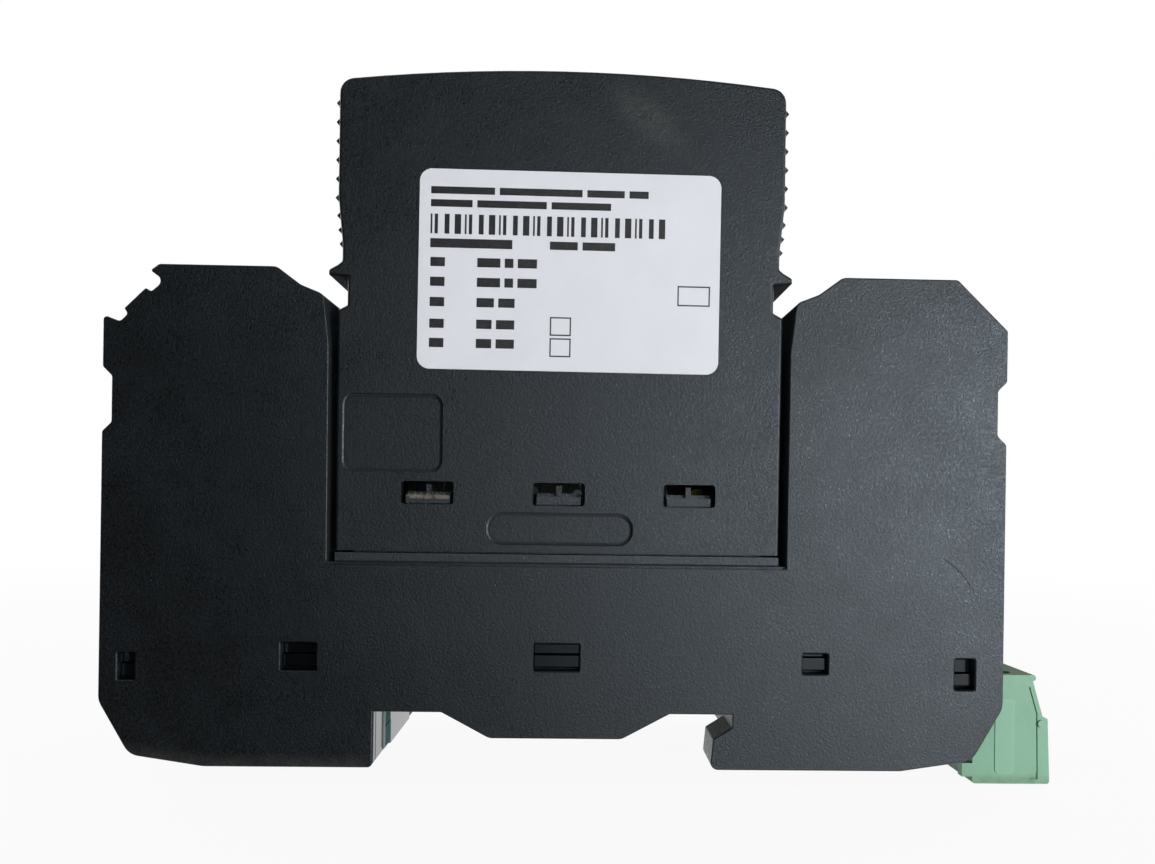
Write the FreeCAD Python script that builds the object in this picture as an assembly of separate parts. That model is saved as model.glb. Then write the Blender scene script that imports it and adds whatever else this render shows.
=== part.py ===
import FreeCAD, Part
import math
import os

# A pluggable surge arrester, two modules wide, that hooks onto a 35 mm top-hat rail.
# X runs along the device, Y across its thickness and Z away from the rail. The near side, at the
# lowest Y, carries the label. The origin is the middle of the rail seat. All sizes are millimetres.

# Driving dimensions of the whole device
device_length = 94.2
device_thickness = 35.6
shoulder_height = 46.0
plug_crown_height = 67.0
foot_depth = 5.8

# Driving dimensions of the base shell
shell_wall = 2.0
side_cover_thickness = 2.0
mould_edge_radius = 0.3
opening_width = 47.8
opening_floor_height = 15.5
opening_flare = 0.7
opening_shoulder_width = 4.9
shoulder_step_height = 2.8
end_groove_depth = 0.95
end_groove_height = 4.75
end_groove_drop = 14.0
end_chamfer_width = 5.4
end_chamfer_height = 5.3
foot_toe_length = 10.8
foot_toe_width = 3.2
foot_toe_rise = 1.15
foot_end_level = 0.9
floor_rebate_height = 0.3
floor_rebate_depth = 0.6

# Driving dimensions of the rail seat. The seat is open from the left foot to the fixed right hook.
rail_seat_left = -18.96
rail_hook_right = 18.48
rail_flange_slot = 1.35
hook_nose_reach = 2.0
hook_nose_drop = 1.25
foot_recess_depth = 0.2
bulge_foot_width = 23.8
bulge_face_width = 13.8
bulge_depth = 2.67

# Driving dimensions of the rail latch
latch_width = 20.2
latch_core_width = 14.0
latch_lip_height = 1.85
latch_core_height = 2.75
latch_roof_gap = 1.15
latch_length = 24.6
latch_travel = 4.0
latch_play = 0.12
latch_pocket_start = 5.0
latch_pocket_length = 13.4
latch_pocket_width = 3.4
latch_pocket_depth = 3.0
latch_slot_inset = 1.6
latch_slot_length = 2.4
latch_slot_width = 6.0
latch_peg_length = 1.6
latch_peg_width = 2.6
latch_peg_height = 2.6
latch_peg_inset = 0.6
latch_spring_radius = 1.1
latch_spring_wire = 0.22

# Driving dimensions of the four terminals
terminal_inset = 11.6
terminal_play = 0.2
terminal_rib_thickness = 1.0
terminal_rib_gap = 0.7
cage_length = 9.0
cage_height = 17.2
cage_wall = 1.7
cage_floor = 2.0
cage_thread_wall = 3.0
cage_travel = 6.4
cage_groove_pitch = 2.4
cage_groove_width = 0.6
cage_groove_depth = 0.3
terminal_screw_radius = 2.5
terminal_thread_gap = 0.05
screw_head_radius = 4.2
screw_head_height = 3.4
screw_slot_width = 1.0
screw_slot_depth = 1.9
screw_cross_length = 4.6
driver_hole_radius = 3.6
driver_tube_wall = 1.4
wire_entry_height = 9.6
funnel_wall = 1.4
busbar_drop = 21.0
busbar_thickness = 2.0
busbar_bridge_height = 6.0
tongue_side_gap = 1.5

# Driving dimensions of the plug-in contacts
contact_spacing = 28.0
blade_thickness = 1.6
blade_side_gap = 1.6
blade_reach = 6.2
blade_play = 0.05
blade_rise = 6.0
socket_leaf = 0.8
socket_height = 7.2
socket_foot_reach = 0.9
socket_flare = 0.5
socket_waist_share = 0.62
socket_end_gap = 0.4
socket_bench_reach = 3.6
socket_foot_length = 3.4
spring_sheet = 0.5
spring_band_height = 1.4

# Driving dimensions of the plug
plug_width = 46.2
plug_side_play = 0.1
plug_wall = 1.6
plug_top_wall = 2.0
plug_frame_rim = 0.95
plug_frame_deck = 3.4
plug_joint = 0.22
crown_radius = 194.0
crown_corner_radius = 1.6
grip_bulge = 0.2
grip_rib_height = 0.38
grip_rib_base = 1.15
grip_rib_pitch = 1.97
grip_rib_low_pitches = [1.85, 1.5, 1.45]
grip_rib_top_drop = 3.8
grip_rib_root = 0.4
grip_waist = 0.3
grip_start = 1.7
grip_rise = 5.0
neck_depth = 0.9
neck_height = 3.1
lug_reach = 1.07
lug_rise = 0.7
lug_drop = 0.9
crown_edge_drop = 2.0
plug_ceiling_drop = 0.6

# Bare moulded panels of the plug's near side: left, right, bottom and top, and their corner radius
square_panel = (-22.3, -12.25, 25.1, 32.75, 1.0)
long_panel = (-7.7, 7.7, 17.55, 20.55, 1.45)
panel_depth = 0.3

# Driving dimensions of the type label
label_width = 31.4
label_height = 20.8
label_corner_radius = 1.3
label_thickness = 0.12
label_offset = 0.79
label_drop = 21.0
label_turn = 0.25

# Driving dimensions of the snap windows and hooks
plug_window_width = 5.45
plug_window_height = 2.4
plug_window_pitch = 13.65
plug_window_level = 22.8
window_bevel = 0.12
base_hook_recess = 1.0
base_hook_nose_height = 1.3
base_hook_step = 0.55
base_hook_edge = 0.12
base_hook_margin = 0.3
base_hook_root_drop = 0.6
hook_arm_thickness = 1.1
hook_arm_width = 4.6
hook_play = 0.08
hook_rib_width = 0.56
hook_sill = 0.12
hook_arm_rise = 1.2
hook_ledge_height = 0.85
hook_rib_rise = 2.0
hook_rib_reach = 0.5
hook_face_recess = 0.45
cover_hook_thickness = 1.6
rail_hook_thickness = 6.5

# Driving dimensions of the arc chamber and the trigger circuit
chamber_side = 3.5
chamber_height = 26.0
chamber_wall = 2.6
chamber_side_wall = 1.9
chamber_far_gap = 0.9
chamber_rest_height = 2.4
chamber_grooves = 4
chamber_groove_start = 6.0
chamber_groove_pitch = 4.4
chamber_groove_height = 2.0
chamber_groove_depth = 0.6
electrode_side_gap = 2.6
horn_height = 17.5
horn_back = 8.0
horn_foot = 4.6
horn_foot_rise = 0.6
horn_tip_inset = 1.2
horn_tip_width = 2.2
spark_gap = 2.0
rivet_radius = 0.68
rivet_play = 0.02
rivet_head_radius = 1.15
rivet_head_height = 0.49
board_thickness = 1.6
board_gap = 1.6
trigger_board_cutback = 5.2
trigger_board_rise = 6.0
varistor_radius = 7.0
varistor_thickness = 4.4
varistor_gap = 1.0
varistor_inset = 9.0
varistor_rise = 13.0
gas_tube_radius = 3.9
gas_tube_length = 6.0
gas_tube_cap = 1.2
gas_tube_inset = 12.0
gas_tube_rise = 8.0
transformer_width = 9.0
transformer_height = 11.0
transformer_depth = 7.0
transformer_inset = 11.2
transformer_rise = 16.0
transformer_gap = 1.9

# Driving dimensions of the status flag and the switch that reads it
slider_travel = 4.0
slider_foot_recess = 0.5
slider_thickness = 1.2
slider_width = 3.2
slider_arm = 2.6
slider_flag_thickness = 1.2
slider_flag_drop = 2.1
slider_collar_height = 1.4
slider_guide_rise = 5.0
slider_guide_wall = 1.0
slider_spring_radius = 0.95
slider_spring_wire = 0.2
slider_spring_height = 9.0
status_window_x = 14.0
status_window_length = 7.0
status_window_width = 4.0
window_lip = 0.8
switch_x = 20.4
switch_inset = 7.8
switch_length = 6.4
switch_width = 5.4
switch_headroom = 0.6
plunger_radius = 1.0
plunger_travel = 1.2
plunger_seat_depth = 3.4
plunger_play = 0.06

# Driving dimensions of the coding pin
coding_radius = 1.5
coding_x = -20.0
coding_inset = 7.8
coding_depth = 1.4

# Driving dimensions of the remote-signal connector and its header
connector_pitch = 3.5
connector_poles = 3
connector_side_wall = 0.35
connector_setback = 2.3
connector_height = 11.7
connector_depth = 8.4
connector_top_level = 4.1
connector_overhang = 6.1
connector_step = 7.0
connector_lean = 0.27
connector_ledge = 0.56
connector_ledge_rise = 0.23
connector_lip_setback = 1.63
connector_lip_height = 0.52
connector_neck_setback = 1.93
connector_neck_drop = 0.67
connector_plate_inset = 2.4
connector_plate_width = 2.1
connector_plate_rise = 1.03
connector_plate_height = 8.16
connector_plate_relief = 0.1
connector_boss_radius = 0.4
connector_boss_inset = 1.0
connector_boss_level = 6.5
connector_boss_relief = 0.25
connector_seam_width = 0.14
connector_seam_depth = 0.2
connector_catch_width = 0.9
connector_catch_height = 0.7
connector_key_reach = 1.12
connector_key_thickness = 1.2
connector_key_rise = 0.73
connector_key_height = 1.45
connector_insert_wall = 0.9
connector_clamp_play = 0.08
connector_bore_radius = 1.15
connector_entry_size = 2.5
connector_entry_rise = 0.9
pin_socket_width = 2.2
pin_socket_height = 2.7
header_length = 7.3
header_height = 8.6
header_drop = 0.4
header_back_wall = 2.6
header_wall = 0.7
pin_size = 1.0
pin_inset = 1.6
pin_rise = 4.3
insert_play = 0.12
clamp_inset = 3.6
clamp_width = 2.5
clamp_length = 3.4
clamp_height = 5.4
clamp_top_wall = 1.3
clamp_floor_wall = 0.7
clamp_travel = 1.6
strip_rise = 5.8
strip_thickness = 0.5
strip_width = 1.6
fork_leaf = 0.4
connector_screw_radius = 0.8
connector_head_radius = 1.25
connector_head_height = 1.0

# Clearances
free_gap = 0.3
close_gap = 0.1
seat_gap = 0.05

# Places that follow from the driving dimensions
half_length = device_length / 2
near_face = -device_thickness / 2
far_face = device_thickness / 2
cover_back = near_face + side_cover_thickness
inner_near = cover_back
inner_far = far_face - shell_wall
half_opening = opening_width / 2
half_mouth = half_opening + opening_flare
inner_half = half_length - shell_wall
floor_underside = opening_floor_height - shell_wall
shoulder_underside = shoulder_height - shell_wall
shoulder_step = shoulder_height - shoulder_step_height
flat_inner = half_mouth + opening_shoulder_width
end_groove_level = shoulder_height - end_groove_drop

latch_right = rail_seat_left
latch_left = latch_right - latch_length
latch_top = -latch_roof_gap
latch_lip = latch_top - latch_lip_height
latch_bottom = latch_lip - latch_core_height
latch_pocket_right = latch_right - latch_pocket_start
latch_pocket_left = latch_pocket_right - latch_pocket_length
peg_right = latch_pocket_left + latch_travel + latch_peg_inset + latch_peg_length

terminal_x = half_length - terminal_inset
mid_rib_half = terminal_rib_thickness / 2
terminal_width = inner_far - terminal_play - terminal_rib_gap - mid_rib_half
wire_entry_width = terminal_width - 2 * cage_wall - 2 * free_gap
tongue_width = terminal_width - 2 * cage_wall - 2 * tongue_side_gap
terminal_y = inner_far - terminal_play - terminal_width / 2
busbar_top = shoulder_height - busbar_drop
busbar_bottom = busbar_top - busbar_thickness
cage_top_rest = busbar_top + free_gap + cage_thread_wall
cage_bottom_rest = cage_top_rest - cage_height
wire_level = cage_bottom_rest + cage_floor + wire_entry_height / 2
head_bottom = cage_top_rest + cage_travel + free_gap
head_top = head_bottom + screw_head_height

plug_near = near_face + plug_side_play
plug_far = far_face - plug_side_play
half_plug = plug_width / 2
plug_bottom = opening_floor_height + seat_gap
cover_bottom = plug_bottom + plug_frame_rim + plug_joint
deck_top = plug_bottom + plug_frame_deck
half_grip = half_plug + grip_bulge
half_neck = half_plug - neck_depth
lug_top = shoulder_height + lug_rise
lug_bottom = shoulder_height - lug_drop
neck_bottom = lug_bottom - neck_height
grip_low = lug_top + grip_start
grip_high = grip_low + grip_rise
grip_low_half = half_plug - grip_waist
crown_edge_level = plug_crown_height - crown_edge_drop
plug_ceiling = plug_crown_height - plug_top_wall - plug_ceiling_drop

chamber_width = contact_spacing + 2 * chamber_side
chamber_far = plug_far - plug_wall - hook_arm_thickness - chamber_far_gap
board_near = plug_near + plug_wall + hook_arm_thickness + transformer_gap + transformer_depth
chamber_near = board_near + board_thickness + board_gap
chamber_thickness = chamber_far - chamber_near
electrode_thickness = chamber_thickness - 2 * (chamber_side_wall + electrode_side_gap)
chamber_bottom = deck_top + chamber_rest_height
chamber_top = chamber_bottom + chamber_height

contact_offset = (chamber_near + chamber_far) / 2
blade_width = chamber_thickness - 2 * (chamber_side_wall + blade_side_gap)
left_contact_x = -contact_spacing / 2
right_contact_x = contact_spacing / 2
contact_y0 = contact_offset - blade_width / 2
contact_y1 = contact_offset + blade_width / 2
socket_base = floor_underside - socket_height - 0.5

connector_near = near_face + connector_setback
connector_width = connector_poles * connector_pitch + 2 * connector_side_wall
connector_far = connector_near + connector_width
connector_right = half_length + connector_overhang
connector_left = connector_right - connector_depth
connector_bottom = connector_top_level - connector_height
connector_shoulder = connector_bottom + connector_step
header_right = connector_left - free_gap
header_left = header_right - header_length
header_top = connector_top_level - header_drop
header_bottom = header_top - header_height
pin_x = header_left + pin_inset
pin_level = header_bottom + pin_rise
insert_left = header_left + header_back_wall + 0.5
insert_top = header_top - header_wall - insert_play
insert_bottom = header_bottom + header_wall + insert_play
clamp_x = connector_left + clamp_inset
strip_level = connector_bottom + strip_rise
clamp_top = strip_level + strip_thickness + 0.15 + clamp_top_wall
clamp_bottom = clamp_top - clamp_height
connector_head_bottom = clamp_top + clamp_travel + 0.2

signal_board_top = header_top + free_gap + board_thickness
switch_y = near_face + switch_inset
switch_bottom = signal_board_top
switch_top = floor_underside - switch_headroom
slider_y = switch_y
coding_y = near_face + coding_inset
slider_x1 = switch_x - 0.2
slider_x0 = slider_x1 - slider_thickness
slider_half_y = slider_width / 2
guide_top = deck_top + slider_guide_rise
slider_collar = guide_top + 0.2 + slider_spring_height


def vec(x, y, z):
    return FreeCAD.Vector(x, y, z)


def block(x0, x1, y0, y1, z0, z1):
    low = vec(min(x0, x1), min(y0, y1), min(z0, z1))
    return Part.makeBox(abs(x1 - x0), abs(y1 - y0), abs(z1 - z0), low)


def rod(radius, x, y, z, length, direction=(0, 0, 1)):
    return Part.makeCylinder(radius, length, vec(x, y, z), vec(*direction))


def fused(shapes):
    whole = shapes[0]
    for shape in shapes[1:]:
        whole = whole.fuse(shape)
    return whole.removeSplitter()


def without(shape, tools):
    for tool in tools:
        shape = shape.cut(tool)
    return shape


def mirrored(shape):
    return shape.mirror(vec(0, 0, 0), vec(1, 0, 0))


def rounded_wire(corners, place):
    """A closed outline of straight sides. Each corner is two coordinates and its radius."""
    points = [place(corner[0], corner[1]) for corner in corners]
    starts = []
    ends = []
    middles = []
    for index, corner in enumerate(corners):
        here = points[index]
        back = points[index - 1].sub(here)
        ahead = points[(index + 1) % len(points)].sub(here)
        turn = back.getAngle(ahead)
        radius = corner[2]
        if radius == 0 or turn > math.pi - 0.001:
            starts.append(here)
            ends.append(here)
            middles.append(None)
            continue
        run = min(radius / math.tan(turn / 2), 0.45 * back.Length, 0.45 * ahead.Length)
        radius = run * math.tan(turn / 2)
        back.normalize()
        ahead.normalize()
        bisector = back.add(ahead).normalize()
        to_centre = radius / math.sin(turn / 2)
        starts.append(here.add(back * run))
        ends.append(here.add(ahead * run))
        middles.append(here.add(bisector * (to_centre - radius)))
    edges = []
    for index in range(len(corners)):
        if middles[index] is not None:
            edges.append(Part.Arc(starts[index], middles[index], ends[index]).toShape())
        following = starts[(index + 1) % len(corners)]
        if ends[index].distanceToPoint(following) > 1e-6:
            edges.append(Part.LineSegment(ends[index], following).toShape())
    return Part.Wire(edges)


def side_plate(corners, y0, y1):
    """A plate whose outline is seen from the near side, in X and Z."""
    wire = rounded_wire(corners, lambda x, z: vec(x, y0, z))
    return Part.Face(wire).extrude(vec(0, y1 - y0, 0))


def end_plate(corners, x0, x1):
    """A plate whose outline is seen from the end, in Y and Z."""
    wire = rounded_wire(corners, lambda y, z: vec(x0, y, z))
    return Part.Face(wire).extrude(vec(x1 - x0, 0, 0))


def top_plate(corners, z0, z1):
    """A plate whose outline is seen from above, in X and Y."""
    wire = rounded_wire(corners, lambda x, y: vec(x, y, z0))
    return Part.Face(wire).extrude(vec(0, 0, z1 - z0))


def rectangle(a0, a1, b0, b1, radius=0.0):
    return [(a0, b0, radius), (a1, b0, radius), (a1, b1, radius), (a0, b1, radius)]


def mirror_corners(corners):
    return [(-x, z, radius) for x, z, radius in reversed(corners)]


def edges_on_face(shape, y):
    """The edges that lie in the plane of one Y."""
    return [edge for edge in shape.Edges
            if abs(edge.BoundBox.YMin - y) < 1e-4 and abs(edge.BoundBox.YMax - y) < 1e-4]


# Base outline

def opening_side():
    """Right edge of the opening, from its shoulder down to its floor."""
    return [
        (flat_inner, shoulder_height, 1.2),
        (half_mouth + 2.4, shoulder_step + 0.95, 2.0),
        (half_mouth, shoulder_step, 1.0),
        (half_opening + 0.1, shoulder_step - 5.2, 6.0),
        (half_opening, opening_floor_height, 0.0),
    ]


def end_groove():
    """Right end's shallow groove, from its lower lip to its upper lip."""
    low = end_groove_level - end_groove_height / 2
    high = end_groove_level + end_groove_height / 2
    inset = half_length - end_groove_depth
    return [
        (half_length, low - end_groove_depth, 0.5),
        (inset, low, 0.5),
        (inset, high, 0.5),
        (half_length, high + end_groove_depth, 0.5),
    ]


def marker_groove():
    """Undercut groove across the top left corner that holds a marker strip."""
    x = -half_length
    z = shoulder_height
    return [
        (x, z - 5.35, 0.35),
        (x + 1.7, z - 6.0, 0.5),
        (x + 2.45, z - 5.2, 0.3),
        (x + 2.1, z - 4.65, 0.15),
        (x + 4.25, z - 2.5, 0.2),
        (x + 4.8, z - 2.9, 0.4),
        (x + 6.1, z - 1.7, 0.8),
        (x + 4.7, z - 0.7, 0.2),
        (x + 5.6, z, 0.6),
    ]


def foot_corner():
    """Right foot's outer corner, from its flat underside to its end."""
    return [
        (half_length - foot_toe_length, -foot_depth, 4.0),
        (half_length - foot_toe_width, -foot_depth + foot_toe_rise, 2.0),
        (half_length, foot_end_level, 2.0),
    ]


def rail_seat():
    """Rail seat from the left foot's wall to the right foot's nose."""
    nose_level = -rail_flange_slot - hook_nose_drop
    return [
        (rail_seat_left, -foot_depth, 0.5),
        (rail_seat_left, 0.0, 0.0),
        (-bulge_foot_width / 2, 0.0, 0.5),
        (-bulge_face_width / 2, -bulge_depth, 1.5),
        (bulge_face_width / 2, -bulge_depth, 1.5),
        (bulge_foot_width / 2, 0.0, 0.5),
        (rail_hook_right, 0.0, 0.0),
        (rail_hook_right, -rail_flange_slot, 0.2),
        (rail_hook_right - hook_nose_reach, nose_level, 0.3),
        (rail_hook_right - hook_nose_reach - 0.3, -foot_depth, 0.8),
    ]


def base_outline():
    """Whole outline of the base, anticlockwise from the left foot."""
    right_top = [
        (half_length, shoulder_height - end_chamfer_height, 0.4),
        (half_length - end_chamfer_width, shoulder_height, 0.6),
    ]
    left_opening = mirror_corners(opening_side())
    left_groove = mirror_corners(end_groove())
    left_foot = mirror_corners(foot_corner())
    lower = left_foot + rail_seat() + foot_corner()
    upper = end_groove() + right_top + opening_side() + left_opening
    upper_left = list(reversed(marker_groove())) + left_groove
    return lower + upper + upper_left


# Windows of the base side cover: centre X, centre Z, width and height
base_windows = [
    (-half_length + 2.8, 4.5, 1.8, 2.9),
    (-26.7, 5.65, 3.7, 2.95),
    (0.0, 5.8, 4.8, 2.9),
    (27.15, 5.4, 2.7, 2.2),
    (half_length - 4.1, 4.45, 2.2, 3.3),
]


def bevelled_window(window):
    """A window through the near wall whose outer rim is bevelled."""
    x, z, width, height = window
    inner = rounded_wire(
        rectangle(x - width / 2, x + width / 2, z - height / 2, z + height / 2, 0.2),
        lambda a, b: vec(a, near_face + window_bevel, b))
    grow = window_bevel + close_gap
    outer = rounded_wire(
        rectangle(x - width / 2 - grow, x + width / 2 + grow,
                  z - height / 2 - grow, z + height / 2 + grow, 0.3),
        lambda a, b: vec(a, near_face - close_gap, b))
    rim = Part.makeLoft([outer, inner], True)
    through = side_plate(
        rectangle(x - width / 2, x + width / 2, z - height / 2, z + height / 2, 0.2),
        near_face - close_gap, cover_back + close_gap)
    return rim.fuse(through)


def connector_y(index):
    """Y of one pole of the connector."""
    return connector_near + connector_side_wall + connector_pitch * (index + 0.5)


def floor_pockets():
    """Coring of both feet and of the bulge, open to the space inside the base."""
    top = shell_wall + close_gap
    foot_low = -foot_depth + shell_wall
    side = latch_width / 2 + latch_play + shell_wall
    left0 = -half_length + 5.2
    left1 = rail_seat_left - 3.0
    right0 = rail_hook_right + 3.0
    right1 = header_left - 2.2
    return [
        block(left0, left1, inner_near - close_gap, -side, foot_low, top),
        block(left0, left1, side, inner_far, foot_low, top),
        block(right0, right1, inner_near - close_gap, connector_far - 1.0, foot_low, top),
        block(right0, right1, connector_far + 1.0, inner_far, foot_low, top),
        block(-bulge_face_width / 2 + 0.8, bulge_face_width / 2 - 0.8,
              inner_near - close_gap, contact_y0 - 2.5, -bulge_depth + shell_wall, top),
    ]


def latch_channel():
    """T-shaped channel of the latch, open below, at the rail and at the foot's end."""
    roof = -latch_roof_gap + latch_play
    lip = roof - latch_lip_height - 2 * latch_play
    half_wide = latch_width / 2 + latch_play
    half_core = latch_core_width / 2 + latch_play
    x0 = -half_length - 1
    x1 = rail_seat_left + 1
    wide = block(x0, x1, -half_wide, half_wide, lip, roof)
    core = block(x0, x1, -half_core, half_core, -foot_depth - 1, lip + close_gap)
    return wide.fuse(core)


def base_cavity():
    """Space inside the base, one side cavity that joins both towers below the opening."""
    x = inner_half
    inner_opening = half_opening + shell_wall
    slope = 5.4
    right = [
        (x, shell_wall, 0.8),
        (x, shoulder_underside - slope + 1.4, 0.8),
        (x - slope + 0.9, shoulder_underside, 0.8),
        (inner_opening + 2.4, shoulder_underside, 0.8),
        (inner_opening + 0.3, shoulder_underside - 1.8, 0.8),
        (inner_opening, floor_underside, 0.0),
    ]
    left = [
        (-inner_opening, floor_underside, 0.0),
        (-inner_opening - 0.3, shoulder_underside - 1.8, 0.8),
        (-inner_opening - 2.4, shoulder_underside, 0.8),
        (-x + 5.6, shoulder_underside, 0.8),
        (-x, shoulder_underside - 5.8, 0.8),
        (-x, shell_wall, 0.8),
    ]
    return side_plate(right + left, inner_near - close_gap, inner_far)


def terminal_places():
    """Side and position of each terminal: its name, X and Y."""
    places = []
    for side, x in (("left", -terminal_x), ("right", terminal_x)):
        for depth, y in (("near", -terminal_y), ("far", terminal_y)):
            places.append((side + "_" + depth, x, y))
    return places


def terminal_supports(x, y):
    """Moulded driver tube and wire funnel of one terminal."""
    outward = math.copysign(1, x)
    tube_bottom = head_top + close_gap
    tube = rod(driver_hole_radius + driver_tube_wall, x, y, tube_bottom,
               shoulder_underside - tube_bottom + 0.5)
    cage_outer = x + outward * (cage_length / 2 + free_gap)
    end_wall = outward * (inner_half + 0.5)
    half_wide = wire_entry_width / 2 + funnel_wall
    half_high = wire_entry_height / 2 + funnel_wall
    funnel = block(cage_outer, end_wall, y - half_wide, y + half_wide,
                   wire_level - half_high, wire_level + half_high)
    return [tube, funnel]


def terminal_holes(x, y):
    """Driver hole from above and wire entry from the end of one terminal."""
    outward = math.copysign(1, x)
    driver = rod(driver_hole_radius, x, y, head_top - 1, shoulder_height - head_top + 2)
    inner_x = x + outward * cage_length / 2
    outer_x = outward * (half_length + 1)
    entry = end_plate(
        rectangle(y - wire_entry_width / 2, y + wire_entry_width / 2,
                  wire_level - wire_entry_height / 2, wire_level + wire_entry_height / 2, 1.5),
        inner_x, outer_x)
    return [driver, entry]


def middle_ribs():
    """Ribs between the two terminals of each end. They also stop the cages from turning."""
    low = shell_wall
    x0 = terminal_x - cage_length / 2
    right = block(x0, inner_half + 0.5, -mid_rib_half, mid_rib_half, low, shoulder_underside + 0.5)
    return [right, mirrored(right)]


def cover_hooks():
    """Snap hooks of the housing: a nose low in each window of its side cover, set back above it."""
    hooks = []
    root = inner_near + cover_hook_thickness
    nose = near_face + base_hook_recess
    back = nose + base_hook_step
    for x, z, width, height in base_windows:
        half_width = width / 2 - close_gap
        low = z - height / 2 + base_hook_margin
        high = z + height / 2 - base_hook_margin
        nose_top = min(low + base_hook_nose_height, high - base_hook_edge)
        profile = [
            (root, low - base_hook_root_drop, 0),
            (nose, low, base_hook_edge),
            (nose, nose_top, base_hook_edge),
            (back, nose_top + base_hook_edge, 0),
            (back, high, 0),
            (root, high, 0),
        ]
        hooks.append(end_plate(profile, x - half_width, x + half_width))
        stem_bottom = -foot_depth + shell_wall - 0.5
        if abs(x) < bulge_face_width / 2:
            stem_bottom = -bulge_depth + shell_wall - 0.5
        if abs(x) > half_length - 6:
            end = math.copysign(half_length - 1, x)
            hooks.append(block(x - math.copysign(half_width, x), end, inner_near, root,
                               low - base_hook_root_drop, high))
        else:
            hooks.append(block(x - half_width, x + half_width, inner_near, root, stem_bottom, high))
    return hooks


def connector_pocket():
    """Corner of the base that the signal header and connector stand in."""
    return block(header_left - 0.2, half_length + 1, inner_near - close_gap,
                 connector_far + free_gap, -foot_depth - 1, connector_top_level + 0.2)


def housing_foot_recess():
    """Shallow recess of the left foot's rail wall between the cover and the latch."""
    return block(rail_seat_left - foot_recess_depth, rail_seat_left + 1, inner_near - close_gap,
                 -latch_width / 2 - latch_play - 0.1, -foot_depth - 1, 0.0)


def hook_relief():
    """Gap between the near and the far half of the fixed rail hook."""
    return block(rail_hook_right - 4, rail_hook_right + 2.0,
                 near_face + rail_hook_thickness, far_face - rail_hook_thickness,
                 -foot_depth - 1, -rail_flange_slot + 0.25)


def base_housing():
    """Moulded shell: far wall, rim, opening floor, feet and the supports of what it holds."""
    outer = side_plate(base_outline(), inner_near, far_face)
    shell = outer.makeFillet(mould_edge_radius / 2, edges_on_face(outer, far_face))
    shell = shell.cut(base_cavity())
    shell = without(shell, floor_pockets())
    supports = middle_ribs() + busbar_posts() + [socket_bench(), switch_shelf()]
    for name, x, y in terminal_places():
        supports += terminal_supports(x, y)
    inside = fused(supports).common(outer)
    shell = fused([shell, inside] + cover_hooks())
    holes = [latch_channel(), connector_pocket(), housing_foot_recess(), hook_relief()]
    for name, x, y in terminal_places():
        holes += terminal_holes(x, y)
    holes += floor_slots()
    shell = without(shell, holes)
    return fused([shell, latch_peg()])


def latch_peg():
    """Peg in the latch channel's roof that the latch spring pushes against."""
    roof = -latch_roof_gap + latch_play
    return block(peg_right - latch_peg_length, peg_right, -latch_peg_width / 2, latch_peg_width / 2,
                 roof - latch_peg_height, roof + 0.5)


def rail_latch():
    """Sliding foot that closes over the rail's left flange. It is parked, drawn back."""
    wide = top_plate(rectangle(latch_left, latch_right, -latch_width / 2, latch_width / 2, 0.4),
                     latch_lip, latch_top)
    core = top_plate(rectangle(latch_left, latch_right, -latch_core_width / 2, latch_core_width / 2, 0.4),
                     latch_bottom, latch_lip + close_gap)
    body = fused([wide, core])
    slot_left = latch_left + latch_slot_inset
    driver_slot = block(slot_left, slot_left + latch_slot_length,
                        -latch_slot_width / 2, latch_slot_width / 2, latch_bottom - 1, latch_top + 1)
    pocket = block(latch_pocket_left, latch_pocket_right, -latch_pocket_width / 2, latch_pocket_width / 2,
                   latch_top - latch_pocket_depth, latch_top + 1)
    return without(body, [driver_slot, pocket])


def coil_spring(radius, wire_radius, pitch, length):
    """An open coil along Z from the origin."""
    helix = Part.makeHelix(pitch, length, radius)
    section = Part.Wire(Part.makeCircle(wire_radius, vec(radius, 0, 0), vec(0, 1, 0)))
    return Part.Wire(helix.Edges).makePipeShell([section], True, True)


def latch_spring():
    """Coil spring in the latch's pocket, pressed between the peg and the pocket's end."""
    length = latch_pocket_right - peg_right - 2 * latch_spring_wire - 2 * seat_gap
    coil = coil_spring(latch_spring_radius, latch_spring_wire, length / 6, length)
    coil.rotate(vec(0, 0, 0), vec(0, 1, 0), 90)
    coil.translate(vec(peg_right + latch_spring_wire + seat_gap, 0, latch_top - latch_pocket_depth / 2))
    return coil


def base_side_cover():
    """Near plate of the base, snapped over the housing's hooks."""
    plate = side_plate(base_outline(), near_face, cover_back)
    rim_edges = edges_on_face(plate, near_face)
    plate = plate.makeFillet(mould_edge_radius / 2, rim_edges)
    for window in base_windows:
        plate = plate.cut(bevelled_window(window))
    floor_rebate = block(-half_opening - close_gap, half_opening + close_gap,
                         near_face - close_gap, near_face + floor_rebate_depth,
                         opening_floor_height - floor_rebate_height, opening_floor_height + close_gap)
    return plate.cut(floor_rebate)


# Contacts of the base

def socket_bench():
    """Bench on the base floor that both socket contacts stand on."""
    half = contact_spacing / 2 + socket_bench_reach
    bench = socket_base - busbar_thickness
    low = shell_wall - 0.5
    strip = block(-half, half, contact_y0 - 1, inner_far + 0.5, low, bench)
    middle = block(-4.0, 4.0, contact_y0 + 1.0, contact_y1 - 1.0, low, floor_underside + 0.5)
    return strip.fuse(middle)


def busbar_posts():
    """Posts that back both busbars between the terminals and the opening."""
    x0 = half_opening + shell_wall - 0.5
    x1 = terminal_x - cage_length / 2 - 2 * free_gap - busbar_thickness - close_gap
    right = block(x0, x1, -4, 4, floor_underside, busbar_bottom)
    return [right, mirrored(right)]


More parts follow.
